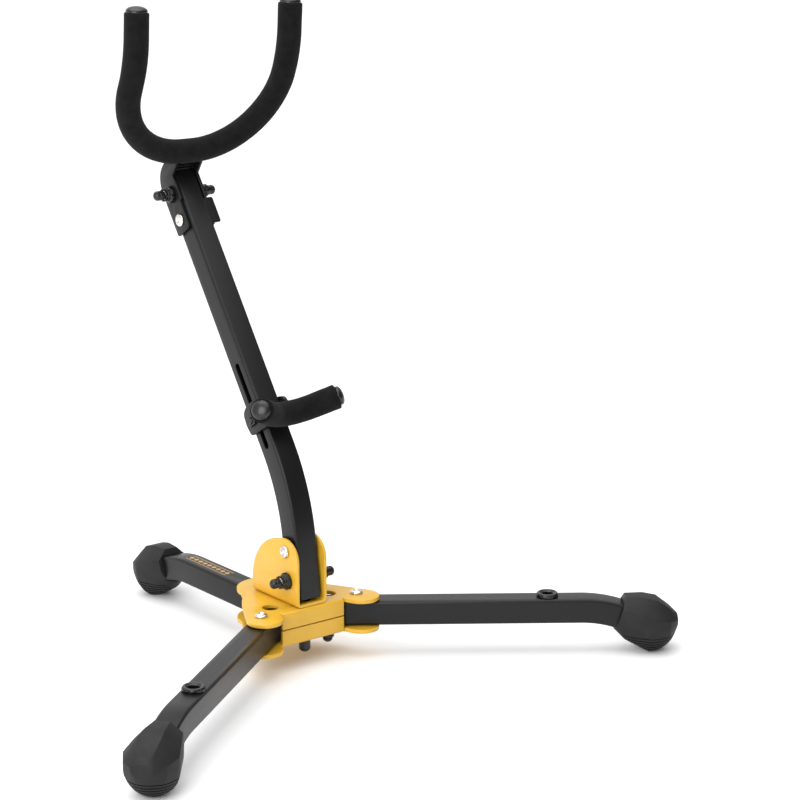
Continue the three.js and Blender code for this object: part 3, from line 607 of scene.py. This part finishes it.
def clevis():
    low = CLEVIS_FLOOR + 3.6
    back_y, back_z, back_r = -8, 60, 40.5
    nose_z, nose_r = 85, 17
    start = math.degrees(math.asin((low - back_z) / back_r))
    outline = [(CLEVIS_FRONT, low)] + arc(back_y, back_z, back_r, start, 80, 26)
    outline += arc(CLEVIS_FRONT + nose_r, nose_z, nose_r, 72, 180, 18)
    holes = [ring(RIVET_R + GAP, 24, POST_Y, POST_Z), ring(PIN_HOLE_R, 24, *clevis_pin_point())]
    length = CLEVIS_BACK - CLEVIS_FRONT
    channel = sheet([clevis_section()], length)
    turned_to(channel, Matrix(((1, 0, 0, 0), (0, 0, -1, CLEVIS_BACK), (0, 1, 0, 0), (0, 0, 0, 1))))
    starts = (-CLEVIS_HALF, CLEVIS_HALF - CLEVIS_T)
    cheeks = [across_x(sheet([outline] + holes, CLEVIS_T), x) for x in starts]
    weld(channel, *cheeks)
    cut(channel,
        drill("z", RIVET_R + GAP, CLEVIS_FLOOR - 1, CLEVIS_FLOOR + 5, 0, HUB_BOLT_Y),
        drill("z", 5.3, CLEVIS_FLOOR + 0.6, CLEVIS_FLOOR + 5, 0, HUB_BOLT_Y))
    add("clevis_sheet", channel, BASE, YELLOW, "hub", "post_clevis")


def hub():
    hub_plate("top_plate_sheet", "hub_top_plate", TOP_PLATE_Z, LEG_Z + HALF_SEAM, LOCK_HOLE_R)
    hub_plate("bottom_plate_sheet", "hub_bottom_plate", BOTTOM_PLATE_Z, LEG_Z - HALF_SEAM, PIN_HOLE_R)
    clevis()
    for label, side in SIDES:
        standing_rivet(f"{label}_leg_rivet_turned", side * PIVOT_X, PIVOT_Y, f"{label}_leg_rivet")
    standing_rivet("back_leg_rivet_turned", 0, BACK_RIVET_Y, "back_leg_rivet")
    hub_bolt()


# ---- fastenings ----
def rivet(z0, z1):
    """A formed rivet with a rolled, dimpled head at both ends."""
    r, h = RIVET_HEAD_R, RIVET_HEAD_H
    head = [(0, h * 0.50), (0.9, h * 0.52), (1.5, h * 0.66), (1.95, h * 0.93), (2.5, h)]
    head += [(r * math.cos(a), h * (0.25 + 0.75 * math.sin(a))) for a in (1.02, 0.8, 0.55, 0.3, 0.1)]
    head += [(r, h * 0.14), (r - 0.15, 0), (RIVET_R, 0)]
    low = [(radius, z0 - GAP - height) for radius, height in head]
    high = [(radius, z1 + GAP + height) for radius, height in reversed(head)]
    return lathe(low + high, 36)


def standing_rivet(name, x, y, node):
    made = turned_to(rivet(BOTTOM_PLATE_Z, TOP_PLATE_Z + PLATE_T), Matrix.Translation((x, y, 0)))
    add(name, made, BASE, STEEL, "hub", node, smooth=50)


def cross_rivet(name, half, y, z, place, body, node):
    made = turned_to(rivet(-half, half), Matrix.Translation((0, y, z)) @ ALONG_X)
    add(name, made, place, STEEL, body, node, smooth=50)


def hub_bolt():
    foot, under, top = 14.0, CLEVIS_FLOOR + 0.9, CLEVIS_FLOOR + CLEVIS_T - 0.2
    profile = [(0, foot), (2.6, foot), (3, foot + 0.4), (3, under)]
    profile += [(5, under), (5, top - 0.3), (4.7, top), (0, top)]
    bolt = lathe(profile, 40)
    cut(bolt, turned_to(sheet([ring(2.3, 6)], 3, 0.05), Matrix.Translation((0, 0, top - 0.8))))
    centre = Matrix.Translation((0, HUB_BOLT_Y, 0))
    add("hub_bolt_turned", turned_to(bolt, centre), BASE, STEEL, "hub", "hub_bolt")
    r, top, dome = 4.6, BOTTOM_PLATE_Z - GAP, 12.0
    profile = [(0, dome - 0.8 * r)]
    profile += [(r * math.cos(a), dome - 0.8 * r * math.sin(a)) for a in (1.3, 1.0, 0.75, 0.5, 0.25, 0.0)]
    profile += [(r, top - 1.9), (r - 0.35, top - 1.5), (r - 0.35, top - 1.2), (r, top - 0.9)]
    profile += [(r, top - 0.2), (r - 0.2, top), (3.3, top), (3.3, foot - GAP), (0, foot - GAP)]
    cap = lathe(profile, 40)
    add("hub_bolt_cap_turned", turned_to(cap, centre), BASE, PLASTIC, "hub", "hub_bolt_cap")


def pin_guide():
    """A flanged, grooved sleeve, with six notches in its flange."""
    guide = lathe(rounded([
        (3.1, 0), (6.8, 0), (6.8, 2.3), (6.1, 2.6), (5.6, 2.7), (5.2, 3.6), (5.2, 4.7), (4.85, 5.0),
        (4.85, 5.4), (5.2, 5.7), (5.2, 7.5), (4.2, 7.5), (4.2, 2), (3.1, 2),
    ], 0.3, 3), 40)
    notches = [turned_to(block((6.25, -0.9, -1), (8, 0.9, 4)), about_z(60 * i)) for i in range(6)]
    return cut(guide, *notches)


def pin_turned(inner, reach):
    """A shank from the height inner, and a domed, grooved button up to reach."""
    dome = reach - PIN_DOME_H
    groove = PIN_R - 0.35
    profile = [(0, inner), (2.5, inner), (2.8, inner + 0.4), (2.8, 7.8), (3.6, 7.8), (PIN_R, 8.1)]
    profile += [(PIN_R, dome - 1.5), (groove, dome - 1.2), (groove, dome - 0.7), (PIN_R, dome - 0.4)]
    for a in (0, 0.25, 0.5, 0.75, 1.0, 1.25):
        profile.append((PIN_R * math.cos(a), dome + PIN_DOME_H * math.sin(a)))
    return lathe(profile + [(0, reach)], 40)


def pin_spring(low, high):
    radius, wire_r, turns, steps = 3.35, 0.25, 3, 84
    path = []
    for i in range(steps + 1):
        angle = 2 * math.pi * turns * i / steps
        height = low + (high - low) * i / steps
        path.append(Vector((radius * math.cos(angle), radius * math.sin(angle), height)))
    return sweep(path, ring(wire_r, 8))


def lock_pin(prefix, place, inner, reach, body):
    """Guide, pin and return spring, drawn along Z from the face that they sit on."""
    add(f"{prefix}_guide_turned", pin_guide(), place, PLASTIC, body, f"{prefix}_guide")
    pin = pin_turned(inner, reach)
    add(f"{prefix}_pin_turned", pin, place, PLASTIC, f"{prefix}_pin", f"{prefix}_pin")
    low, high = 2.55, 7.25
    wire = pin_spring(low, high)
    spring = add(f"{prefix}_spring_wire", wire, place, STEEL, body, f"{prefix}_spring")
    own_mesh(spring)


def side_pins(prefix, face, y, z, place, body):
    for label, side in SIDES:
        outward = Matrix.Rotation(side * math.pi / 2, 4, "Y")
        stand = Matrix.Translation((side * (face + GAP), y, z)) @ outward
        lock_pin(f"{prefix}_{label}", place @ stand, SIDE_PIN_END - face - GAP, PIN_REACH, body)


def leg_locks():
    for label, side in SIDES:
        x, y = lock_point(side)
        down = Matrix.Translation((x, y, BOTTOM_PLATE_Z - GAP)) @ Matrix.Rotation(math.pi, 4, "X")
        lock_pin(f"leg_lock_{label}", BASE @ down, LEG_PIN_END, LEG_PIN_REACH, "hub")


# ---- legs ----
def leg_path(start, straight, extra=0.0):
    angle = math.radians(LEG_BEND)
    path = [Vector((start, 0, LEG_Z)), Vector((straight, 0, LEG_Z))]
    for i in range(1, 15):
        a = angle * i / 14
        x = straight + LEG_BEND_R * math.sin(a)
        path.append(Vector((x, 0, LEG_Z - LEG_BEND_R * (1 - math.cos(a)))))
    path.append(path[-1] + Vector((math.cos(angle), 0, -math.sin(angle))) * (LEG_END + extra))
    return path


def leg_tube(start, straight):
    return sweep(leg_path(start, straight), tube_section(), bore_section(), lip=0.4)


def boot_points(bm):
    """Rings of octagonal facets above, and a round sole and nose below. Local x = 0 is the reach."""
    rings = (                        # place along the leg, height, half height, half width, lean
        (-31.5, 31.5, 14.4, 13.8, 18),
        (-20, 27, 19.5, 17.5, 22),
        (-5, 20.6, 22.2, 20.5, 8),
        (8, 21.5, 14, 16, 0),
        (14.8, 24.5, 5, 8, 0),
    )
    turns = [22.5, 67.5, 112.5, 157.5] + [180 + 15 * i for i in range(13)]
    for t, z, high, wide, lean in rings:
        lean = math.radians(lean)
        for turn in turns:
            grow = 1 / math.cos(math.radians(22.5)) if turn < 180 else 1.0
            up = high * math.sin(math.radians(turn)) * grow
            across = wide * math.cos(math.radians(turn)) * grow
            bm.verts.new((t + up * math.sin(lean), across, z + up * math.cos(lean)))
    centre_x, centre_z = -7, 21.9
    length, width, depth = 21.6, 20.3, 22.6
    for level in range(9):
        down = math.radians(level * 11)
        for i in range(25):
            around = math.radians(-90 + i * 7.5)
            x = centre_x + length * math.cos(around) * math.cos(down)
            y = width * math.sin(around) * math.cos(down)
            bm.verts.new((x, y, centre_z - depth * math.sin(down)))


def boot_shape():
    """The hull of the boot's points, cut flat at the floor."""
    bm = bmesh.new()
    boot_points(bm)
    result = bmesh.ops.convex_hull(bm, input=bm.verts)
    spare = result["geom_interior"] + result["geom_unused"]
    loose = {v for v in spare if isinstance(v, bmesh.types.BMVert)}
    bmesh.ops.delete(bm, geom=list(loose), context="VERTS")
    geometry = bm.verts[:] + bm.edges[:] + bm.faces[:]
    floor = bmesh.ops.bisect_plane(
        bm, geom=geometry, plane_co=(0, 0, 0), plane_no=(0, 0, -1), clear_outer=True)
    edges = [e for e in floor["geom_cut"] if isinstance(e, bmesh.types.BMEdge)]
    bmesh.ops.holes_fill(bm, edges=edges)
    bmesh.ops.dissolve_limit(bm, angle_limit=math.radians(1), verts=bm.verts, edges=bm.edges)
    bmesh.ops.recalc_face_normals(bm, faces=bm.faces)
    mesh = bpy.data.meshes.new("boot")
    bm.to_mesh(mesh)
    bm.free()
    return new_object("boot", mesh)


def boot():
    """The moulded boot: soft edges, five grooves round its sole and a socket for the leg."""
    made = boot_shape()
    core = duplicate(made)
    heart = Matrix.Translation((-8, 0, 22))
    shrink = 0.965                   # what is left inside the grooves
    core.data.transform(heart @ Matrix.Diagonal((shrink, shrink, shrink, 1)) @ heart.inverted())
    soft = made.modifiers.new("soft", "BEVEL")
    soft.width = 1.7
    soft.segments = 3
    soft.limit_method = "ANGLE"
    soft.angle_limit = math.radians(24)
    settle(made)
    grooves = None
    lowest, pitch, width = 3.2, 2.6, 0.8
    for i in range(5):
        z = lowest + pitch * i
        groove = block((-30, -40, z), (40, 40, z + width))
        grooves = weld(grooves, groove) if grooves else groove
    cut(grooves, core)
    cut(made, grooves)
    straight = LEG_STRAIGHT - FOOT_REACH
    socket = sweep(leg_path(straight - 40, straight, GAP), rounded_square(TUBE + 2 * GAP, CORNER, 6))
    return cut(made, socket)


def leg_insert():
    """A flanged socket for an accessory peg, with twelve grip notches."""
    top = LEG_Z + TUBE / 2 + GAP
    profile = rounded([
        (4.5, top - 9), (6.2, top - 9), (6.2, top), (8.6, top), (8.75, top + 0.5), (8.75, top + 1.7),
        (7.9, top + 3), (6.1, top + 3), (5.4, top + 2.2), (4.5, top + 1.8),
    ], 0.35, 3)
    made = lathe(profile, 48)
    low, high = (8.2, -0.7, top - 1), (9.6, 0.7, top + 4)
    grips = [turned_to(block(low, high), about_z(30 * i)) for i in range(12)]
    return cut(made, *grips)


def legs():
    shape = boot()
    below, above = 10, 60            # heights clear of the tube
    for label, side in SIDES:
        place = leg_place(side)
        body = f"{label}_leg"
        tube = cut(leg_tube(-LEG_INNER, LEG_STRAIGHT),
                   drill("z", RIVET_R + GAP, below, above, 0, 0),
                   drill("z", PIN_HOLE_R, below, LEG_Z, -LOCK_OFFSET, 0),
                   drill("z", INSERT_HOLE_R, LEG_Z, above, INSERT_REACH, 0))
        add(f"{label}_leg_profile", tube, place, BLACK, body, f"{label}_leg_tube")
        insert = turned_to(leg_insert(), Matrix.Translation((INSERT_REACH, 0, 0)))
        add(f"{label}_leg_insert_turned", insert, place, PLASTIC, body, f"{label}_leg_insert")
        add_boot(f"{label}_boot_moulded", shape, place, FOOT_REACH, body, f"{label}_boot")
    place = leg_place(0)
    straight = BACK_FOOT_Y - FOOT_REACH + LEG_STRAIGHT
    tube = cut(leg_tube(8, straight), drill("z", RIVET_R + GAP, below, above, BACK_RIVET_Y, 0))
    add("back_leg_profile", tube, place, BLACK, "hub", "back_leg_tube")
    add_boot("back_boot_moulded", shape, place, BACK_FOOT_Y, "hub", "back_boot")
    add("back_leg_stripe", gold_stripe(), place, GOLD, "hub")
    bpy.data.objects.remove(shape)


def gold_stripe():
    """A plain printed border on the back leg's top: two rules with a row of lozenges between them."""
    low, high, thick = 86.0, 144.0, 0.12
    loops = [[(low, y), (high, y), (high, y + 0.7), (low, y + 0.7)] for y in (-4.4, 3.7)]
    count = 9
    pitch = (high - low) / count
    for i in range(count):
        x = low + pitch * (i + 0.5)
        loops.append([(x - 0.42 * pitch, 0), (x, -2.4), (x + 0.42 * pitch, 0), (x, 2.4)])
    return raised(sheet(loops, thick, 0.02), LEG_Z + TUBE / 2 - 0.02)


def add_boot(name, shape, place, reach, body, node):
    made = turned_to(duplicate(shape), Matrix.Translation((reach, 0, 0)))
    add(name, made, place, RUBBER, body, node, smooth=28)


# ---- post ----
def post_path():
    lower, upper = math.radians(LOWER_LEAN), math.radians(UPPER_LEAN)
    down = Vector((0, math.sin(lower), math.cos(lower)))
    up = Vector((0, math.sin(upper), math.cos(upper)))
    corner = Vector((0, BEND_Y, BEND_Z))
    tangent = BEND_R * math.tan((upper - lower) / 2)
    start, end = corner - down * tangent, corner + up * tangent
    path = [corner + down * ((POST_FOOT_Z - BEND_Z) / down.z)]
    for i in range(25):
        t = i / 24
        path.append(start * (1 - t) ** 2 + corner * 2 * t * (1 - t) + end * t ** 2)
    along = (Vector((0, UPPER_Y, UPPER_Z)) - corner).dot(up) + POST_TOP
    path.append(corner + up * along)
    return path


def upper_cutter(made):
    """A cutter drawn in the post's upper part, moved to the stand's own frame."""
    return turned_to(made, BASE.inverted() @ UPPER)


def post():
    tube = sweep(post_path(), tube_section(), bore_section(), lip=0.4)
    half = SLOT_W / 2
    outline = arc(TUBE / 2, SLOT_LOW + half, half, 180, 360, 12)
    outline += arc(TUBE / 2, SLOT_HIGH - half, half, 0, 180, 12)
    slot = across_x(sheet([outline], 2 * TUBE, 0.01), -TUBE)
    cut(tube, upper_cutter(slot),
        drill("x", RIVET_R + GAP, -TUBE, TUBE, POST_Y, POST_Z),
        drill("x", PIN_HOLE_R, -TUBE, TUBE, *clevis_pin_point()),
        upper_cutter(drill("x", RIVET_R + GAP, -TUBE, TUBE, TUBE / 2, YOKE_PIVOT_S)),
        upper_cutter(drill("x", PIN_HOLE_R, -TUBE, TUBE, TUBE / 2, YOKE_PIN_S)))
    add("post_profile", tube, BASE, BLACK, "post", "post_tube")
    cap = raised(sheet([rounded_square(TUBE, CORNER)], 2, 0.6), POST_TOP + GAP)
    stem = raised(sheet([rounded_square(TUBE - 2 * WALL - 2 * GAP, BORE_CORNER)], 9.2, 0.3), POST_TOP - 8)
    plug = turned_to(weld(cap, stem), Matrix.Translation((0, TUBE / 2, 0)))
    add("post_plug_moulded", plug, UPPER, PLASTIC, "post", "post_top_plug")
    cross_rivet("post_rivet_turned", CLEVIS_HALF, POST_Y, POST_Z, BASE, "hub", "post_rivet")
    side_pins("post", CLEVIS_HALF, *clevis_pin_point(), BASE, "hub")


# ---- foam ----
def sleeve_swell(lumpiness, seed):
    """Foam is never quite even: it swells and dips slowly along its length."""
    def swell(point):
        slow = noise.noise(point * 0.045 + Vector((seed, 0, 0)))
        quick = noise.noise(point * 0.16 + Vector((0, seed, 0)))
        return 1 - lumpiness * (0.6 - slow * 0.7 - quick * 0.3)
    return swell


def end_cap(path, end, radius, height):
    """A domed cap whose stem goes into one end of a padded rod."""
    stem, stem_r, rim = 3.0, 1.9, 1.3
    outward = (path[0] - path[1]) if end == 0 else (path[-1] - path[-2])
    profile = [(0, -stem), (stem_r, -stem), (stem_r, GAP)]
    profile += [(radius - 0.3, GAP), (radius, GAP + 0.3), (radius, rim)]
    for a in (0.2, 0.4, 0.6, 0.8, 1.0, 1.2, 1.4):
        profile.append((radius * math.cos(a), rim + (height - rim) * math.sin(a)))
    made = lathe(profile + [(0, height)], 40)
    turn = Vector((0, 0, 1)).rotation_difference(outward.normalized()).to_matrix().to_4x4()
    return turned_to(made, Matrix.Translation(path[end]) @ turn)


# ---- lower rest ----
def rest_path(steps=60):
    """A level bow, hollow side forward: a bend in the middle and a straight arm to each end."""
    turn = math.radians(REST_BEND)
    bent = REST_BEND_R * turn
    path = []
    for i in range(steps + 1):
        run = (2 * i / steps - 1) * (bent + REST_ARM)
        angle = min(abs(run), bent) / REST_BEND_R
        arm = max(abs(run) - bent, 0)
        x = REST_BEND_R * math.sin(angle) + arm * math.cos(turn)
        q = REST_BAR_Q - REST_BEND_R * (1 - math.cos(angle)) - arm * math.sin(turn)
        path.append(Vector((math.copysign(x, run), q, REST_BAR_S)))
    return path


def rest_clamp():
    """Two cheeks folded back from a front web, with a short lug to the rod."""
    cheek = rounded([
        (-5.0, REST_S - 11.1), (19.5, REST_S - 9.8), (21.4, REST_S), (20, REST_S + 9.5),
        (13, REST_S + 13), (2, REST_S + 13.2), (-5.0, REST_S + 9.7),
    ], 3.0, 5)
    y, room = TUBE / 2, 4.3
    seat_low, seat_high = -REST_HALF - 3, 1.4 - REST_HALF
    seat = block((seat_low, y - room, REST_S - room), (seat_high, y + room, REST_S + room))
    left = across_x(sheet([cheek, ring(BOLT_HOLE_R, 24, y, REST_S)], REST_HALF - CHEEK_IN), -REST_HALF)
    right = across_x(sheet([cheek, ring(BOLT_HOLE_R, 24, y, REST_S)], REST_HALF - CHEEK_IN), CHEEK_IN)
    bend, h, front, inner, back = 4.2, REST_HALF, -7.0, -3.8, -3.0
    section = [(-h, back)] + arc(bend - h, front + bend, bend, 180, 270, 7)
    section += arc(h - bend, front + bend, bend, 270, 360, 7)
    section += [(h, back), (CHEEK_IN, back), (CHEEK_IN, inner), (-CHEEK_IN, inner), (-CHEEK_IN, back)]
    web = raised(sheet([section], 17.5), REST_S - 11.3)
    lug_half, lug_front = 4.5, REST_BAR_Q + REST_ROD_R + GAP
    lug = block((-lug_half, lug_front, REST_BAR_S - 2.5), (lug_half, -6.0, REST_BAR_S + 4), 0.5)
    add("rest_clamp_web", weld(web, lug), UPPER, BLACK, "lower_rest", "rest_clamp")
    add("rest_clamp_left_cheek", cut(left, seat), UPPER, BLACK, "lower_rest", "rest_clamp")
    add("rest_clamp_right_cheek", right, UPPER, BLACK, "lower_rest", "rest_clamp")


def rest_fastening():
    """The clamp's lobed knob and its threaded bolt, with a washer and a square nut."""
    y = TUBE / 2
    grip = []
    for i in range(96):
        angle = math.radians(i * 3.75)
        radius = KNOB_R - 0.45 * (1 - math.cos(6 * angle))
        grip.append((y + radius * math.cos(angle), REST_S + radius * math.sin(angle)))
    knob = across_x(sheet([grip], KNOB_T, 1.1), KNOB_X)
    dish = lathe([(0, 0), (5.2, 0), (6.0, 0.7), (6.0, 3), (0, 3)], 40)
    turned_to(dish, Matrix.Translation((23.7, y, REST_S)) @ ALONG_X)
    cut(knob, drill("x", BOLT_HOLE_R, 14, 22.4, y, REST_S), dish)
    add("rest_knob_moulded", knob, UPPER, PLASTIC, "rest_knob", "rest_knob")
    section = [(BOLT_HOLE_R, 13.9), (6.5, 13.9), (6.5, 15.1), (BOLT_HOLE_R, 15.1)]
    washer = lathe(rounded(section, 0.25, 2), 40)
    stand = Matrix.Translation((0, y, REST_S)) @ ALONG_X
    add("rest_washer_turned", turned_to(washer, stand), UPPER, STEEL, "lower_rest", "rest_washer")
    square = [(y + 4 * u, REST_S + 4 * v) for u, v in ((-1, -1), (1, -1), (1, 1), (-1, 1))]
    nut = across_x(sheet([rounded(square, 0.5), ring(BOLT_HOLE_R, 32, y, REST_S)], 3.4, 0.4), -15.9)
    add("rest_nut_cut", nut, UPPER, DARK_STEEL, "lower_rest", "rest_nut")
    crest, root, pitch = 2.5, 2.18, 0.8
    threads = [(0, -17), (2.0, -17), (crest, -16.6)]
    for i in range(34):
        x = -16.4 + i * pitch
        threads += [(crest, x), (crest, x + 0.2), (root, x + 0.45), (root, x + 0.55)]
    bolt = lathe(threads + [(crest, 10.9), (crest, 21.9), (0, 21.9)], 24)
    add("rest_bolt_turned", turned_to(bolt, stand), UPPER, DARK_STEEL, "rest_knob", "rest_bolt")


def lower_rest():
    path = rest_path()
    rest_clamp()
    rod = sweep(path, ring(REST_ROD_R, 28), ring(ROD_BORE_R, 28))
    add("rest_rod_bent", rod, UPPER, BLACK, "lower_rest", "rest_rod")
    uneven = sleeve_swell(0.02, 4.0)
    sleeve = sweep(path, ring(FOAM_R, 44), ring(REST_ROD_R + GAP, 44), lip=1.6, swell=uneven)
    cut(sleeve, block((-4.9, REST_BAR_Q, REST_BAR_S - 2.9), (4.9, 0, REST_BAR_S + 4.4)))
    foam = add("rest_foam_sleeve", sleeve, UPPER, FOAM, "lower_rest", "rest_foam", smooth=40)
    for end, label in ((0, "left"), (-1, "right")):
        cap = end_cap(path, end, REST_CAP_R, 4.6)
        add(f"rest_cap_{label}_domed", cap, UPPER, PLASTIC, "lower_rest", f"rest_cap_{label}", smooth=50)
    rest_fastening()


# ---- yoke ----
def yoke_rise(w):
    """(y, z) at a distance w up the tilted plane of the U, which bends more upright near its tips."""
    tilt = math.radians(YOKE_TILT)
    below = min(w, YOKE_STRAIGHT)
    bent = min(max(w - YOKE_STRAIGHT, 0), math.radians(YOKE_TILT - YOKE_TIP_TILT) * YOKE_PRONG_R)
    lean = tilt - bent / YOKE_PRONG_R
    above = w - below - bent
    forward = YOKE_PRONG_R * (math.cos(lean) - math.cos(tilt))
    forward += below * math.sin(tilt) + above * math.sin(lean)
    upward = YOKE_PRONG_R * (math.sin(tilt) - math.sin(lean))
    upward += below * math.cos(tilt) + above * math.cos(lean)
    base = (BASE.inverted() @ UPPER) @ Vector((0, YOKE_ROD_Q, YOKE_ROD_S))
    return base.y - forward, base.z + upward


def yoke_path(steps=180):
    flat = YOKE_HALF - YOKE_CORNER_R
    turn = YOKE_CORNER_R * math.pi / 2
    length = flat + turn + YOKE_RISE
    path = []
    for i in range(steps + 1):
        run = (2 * i / steps - 1) * length
        angle = min(max(abs(run) - flat, 0), turn) / YOKE_CORNER_R
        x = min(abs(run), flat) + YOKE_CORNER_R * math.sin(angle)
        w = YOKE_CORNER_R * (1 - math.cos(angle)) + max(abs(run) - flat - turn, 0)
        y, z = yoke_rise(w)
        path.append(Vector((math.copysign(x, run), y, z)))
    return path


def cheek_outline():
    s, q = YOKE_ROD_S, YOKE_ROD_Q
    foot = YOKE_PIVOT_S - 10
    lower = rounded([(2, 175), (2, foot), (20.8, foot), (20.8, 189)], 2.5, 5, closed=False)
    points = lower + curve3((20.8, 189), (20.8, 209), (2.4, 211), 12)[1:]
    points += arc(q, s, YOKE_EAR_R, 80, 270, 26)
    return points + [(-0.5, 197), (-0.5, 176.5)]


def yoke_bracket():
    """Two cheeks joined above the post by a web and a collar, with a flange on the right cheek."""
    holes = [ring(RIVET_R + GAP, 24, TUBE / 2, YOKE_PIVOT_S), ring(PIN_HOLE_R, 24, TUBE / 2, YOKE_PIN_S),
             ring(YOKE_ROD_R + 0.9, 32, YOKE_ROD_Q, YOKE_ROD_S)]
    thick = CHEEK_OUT - CHEEK_IN
    cheeks = [across_x(sheet([cheek_outline()] + holes, thick), x) for x in (-CHEEK_OUT, CHEEK_IN)]
    half = CHEEK_IN + 1              # the web and the collar run into both cheeks
    web = block((-half, -4, 206.4), (half, 14, 208.6), 0.3)
    collar = block((-half, -2.6, 203.2), (half, -0.4, 209), 0.4)
    inner, outer, low, high = CHEEK_IN + 0.6, 18.7, 154, 176
    outline = rounded([(inner, low), (outer, low), (outer, high), (inner, high)], 1.6, 4)
    upright = Matrix(((1, 0, 0, 0), (0, 0, 1, 2), (0, 1, 0, 0), (0, 0, 0, 1)))
    flange = turned_to(sheet([outline], 2.2), upright)
    made = weld(cheeks[0], cheeks[1], web, collar, flange)
    add("yoke_bracket_folded", made, UPPER, BLACK, "yoke", "yoke_bracket")


def yoke_foam(path):
    """The U's sleeve, with a slit for each cheek that reaches the rod."""
    uneven = sleeve_swell(0.018, 9.0)
    sleeve = sweep(path, ring(FOAM_R, 48), ring(YOKE_ROD_R + GAP, 48), lip=1.0, swell=uneven)
    room = YOKE_EAR_R + 0.5
    for _, side in SIDES:
        x0, x1 = sorted((side * (CHEEK_IN - 0.4), side * (CHEEK_OUT + 0.4)))
        eye = drill("x", room, x0, x1, YOKE_ROD_Q, YOKE_ROD_S)
        neck = block((x0, YOKE_ROD_Q, YOKE_ROD_S - 11), (x1, YOKE_ROD_Q + 16, YOKE_ROD_S + room))
        cut(sleeve, upper_cutter(eye), upper_cutter(neck))
    foam = add("yoke_foam_sleeve", sleeve, BASE, FOAM, "yoke", "yoke_foam", smooth=40)


def yoke():
    path = yoke_path()
    yoke_bracket()
    cross_rivet("yoke_rivet_turned", CHEEK_OUT, TUBE / 2, YOKE_PIVOT_S, UPPER, "yoke", "yoke_rivet")
    side_pins("yoke", CHEEK_OUT, TUBE / 2, YOKE_PIN_S, UPPER, "yoke")
    rod = sweep(path, ring(YOKE_ROD_R, 28), ring(ROD_BORE_R, 28))
    add("yoke_rod_bent", rod, BASE, BLACK, "yoke", "yoke_rod")
    yoke_foam(path)
    for end, label in ((0, "left"), (-1, "right")):
        cap = end_cap(path, end, YOKE_CAP_R, 5.0)
        add(f"yoke_cap_{label}_domed", cap, BASE, PLASTIC, "yoke", f"yoke_cap_{label}", smooth=50)


# ---- studio ----
def studio():
    half = 9                         # metres
    corners = [(-half, -half, 0), (half, -half, 0), (half, half, 0), (-half, half, 0)]
    floor = mesh_object("floor", corners, [(0, 1, 2, 3)])
    pale, tree, shader = material("pale_floor")
    haze = place_texture(tree, "ShaderNodeTexNoise", 3, Detail=2.0)
    shade = ramp(tree, haze.outputs["Fac"], [(0.3, 0.90), (0.7, 0.92)])
    tree.links.new(shade, shader.inputs["Base Color"])
    shader.inputs["Roughness"].default_value = 0.9
    floor.data.materials.append(pale)
    world = bpy.data.worlds.new("studio")
    bpy.context.scene.world = world
    world.use_nodes = True
    softbox(world.node_tree)
    area_light("key", (-1.5, -0.8, 0.9), 1.2, 17)
    area_light("top", (-0.2, 0.2, 1.9), 1.4, 8)
    overhead = bpy.data.lights.new("overhead", "SUN")
    overhead.energy = 1.3
    overhead.angle = math.radians(80)
    new_object("overhead", overhead)


def softbox(tree):
    """White all round to look at, but its light falls off towards the front right."""
    coords = tree.nodes.new("ShaderNodeTexCoord")
    along = tree.nodes.new("ShaderNodeVectorMath")
    along.operation = "DOT_PRODUCT"
    darker_side = (0.62, -0.56, -0.55)
    along.inputs[1].default_value = darker_side
    tree.links.new(coords.outputs["Generated"], along.inputs[0])
    fall = tree.nodes.new("ShaderNodeMapRange")
    fall.interpolation_type = "SMOOTHSTEP"
    fall.inputs["From Min"].default_value = -0.35
    fall.inputs["From Max"].default_value = 0.55
    fall.inputs["To Min"].default_value = 1.0
    fall.inputs["To Max"].default_value = 0.16
    tree.links.new(along.outputs["Value"], fall.inputs["Value"])
    path = tree.nodes.new("ShaderNodeLightPath")
    brightest = tree.nodes.new("ShaderNodeMath")
    brightest.operation = "MAXIMUM"
    tree.links.new(fall.outputs["Result"], brightest.inputs[0])
    tree.links.new(path.outputs["Is Camera Ray"], brightest.inputs[1])
    background = tree.nodes["Background"]
    background.inputs["Color"].default_value = (1, 1, 1, 1)
    tree.links.new(brightest.outputs["Value"], background.inputs["Strength"])


def area_light(name, position, size, power):
    data = bpy.data.lights.new(name, "AREA")
    data.size = size
    data.energy = power
    light = new_object(name, data)
    light.location = position
    aim = Vector((0, 0, 0.22)) - light.location
    light.rotation_euler = aim.to_track_quat("-Z", "Y").to_euler()


def colours():
    """Plain display colours, so that the pale floor and the backdrop stay white."""
    bpy.context.scene.view_settings.view_transform = "Standard"


def camera():
    """Placed from the post's pivot rivet, at the front left and a little above the stand."""
    data = bpy.data.cameras.new("camera")
    data.lens = CAMERA_LENS
    data.sensor_width = 36
    data.clip_end = 30
    view = new_object("camera", data)
    view.location = ANCHOR + Vector(CAMERA_PLACE) * MM
    azimuth, elevation = math.radians(CAMERA_AZIMUTH), math.radians(CAMERA_ELEVATION)
    view.rotation_euler = (math.pi / 2 - elevation, 0, azimuth)
    bpy.context.scene.camera = view


camera()
colours()
studio()
hub()
leg_locks()
legs()
post()
lower_rest()
yoke()
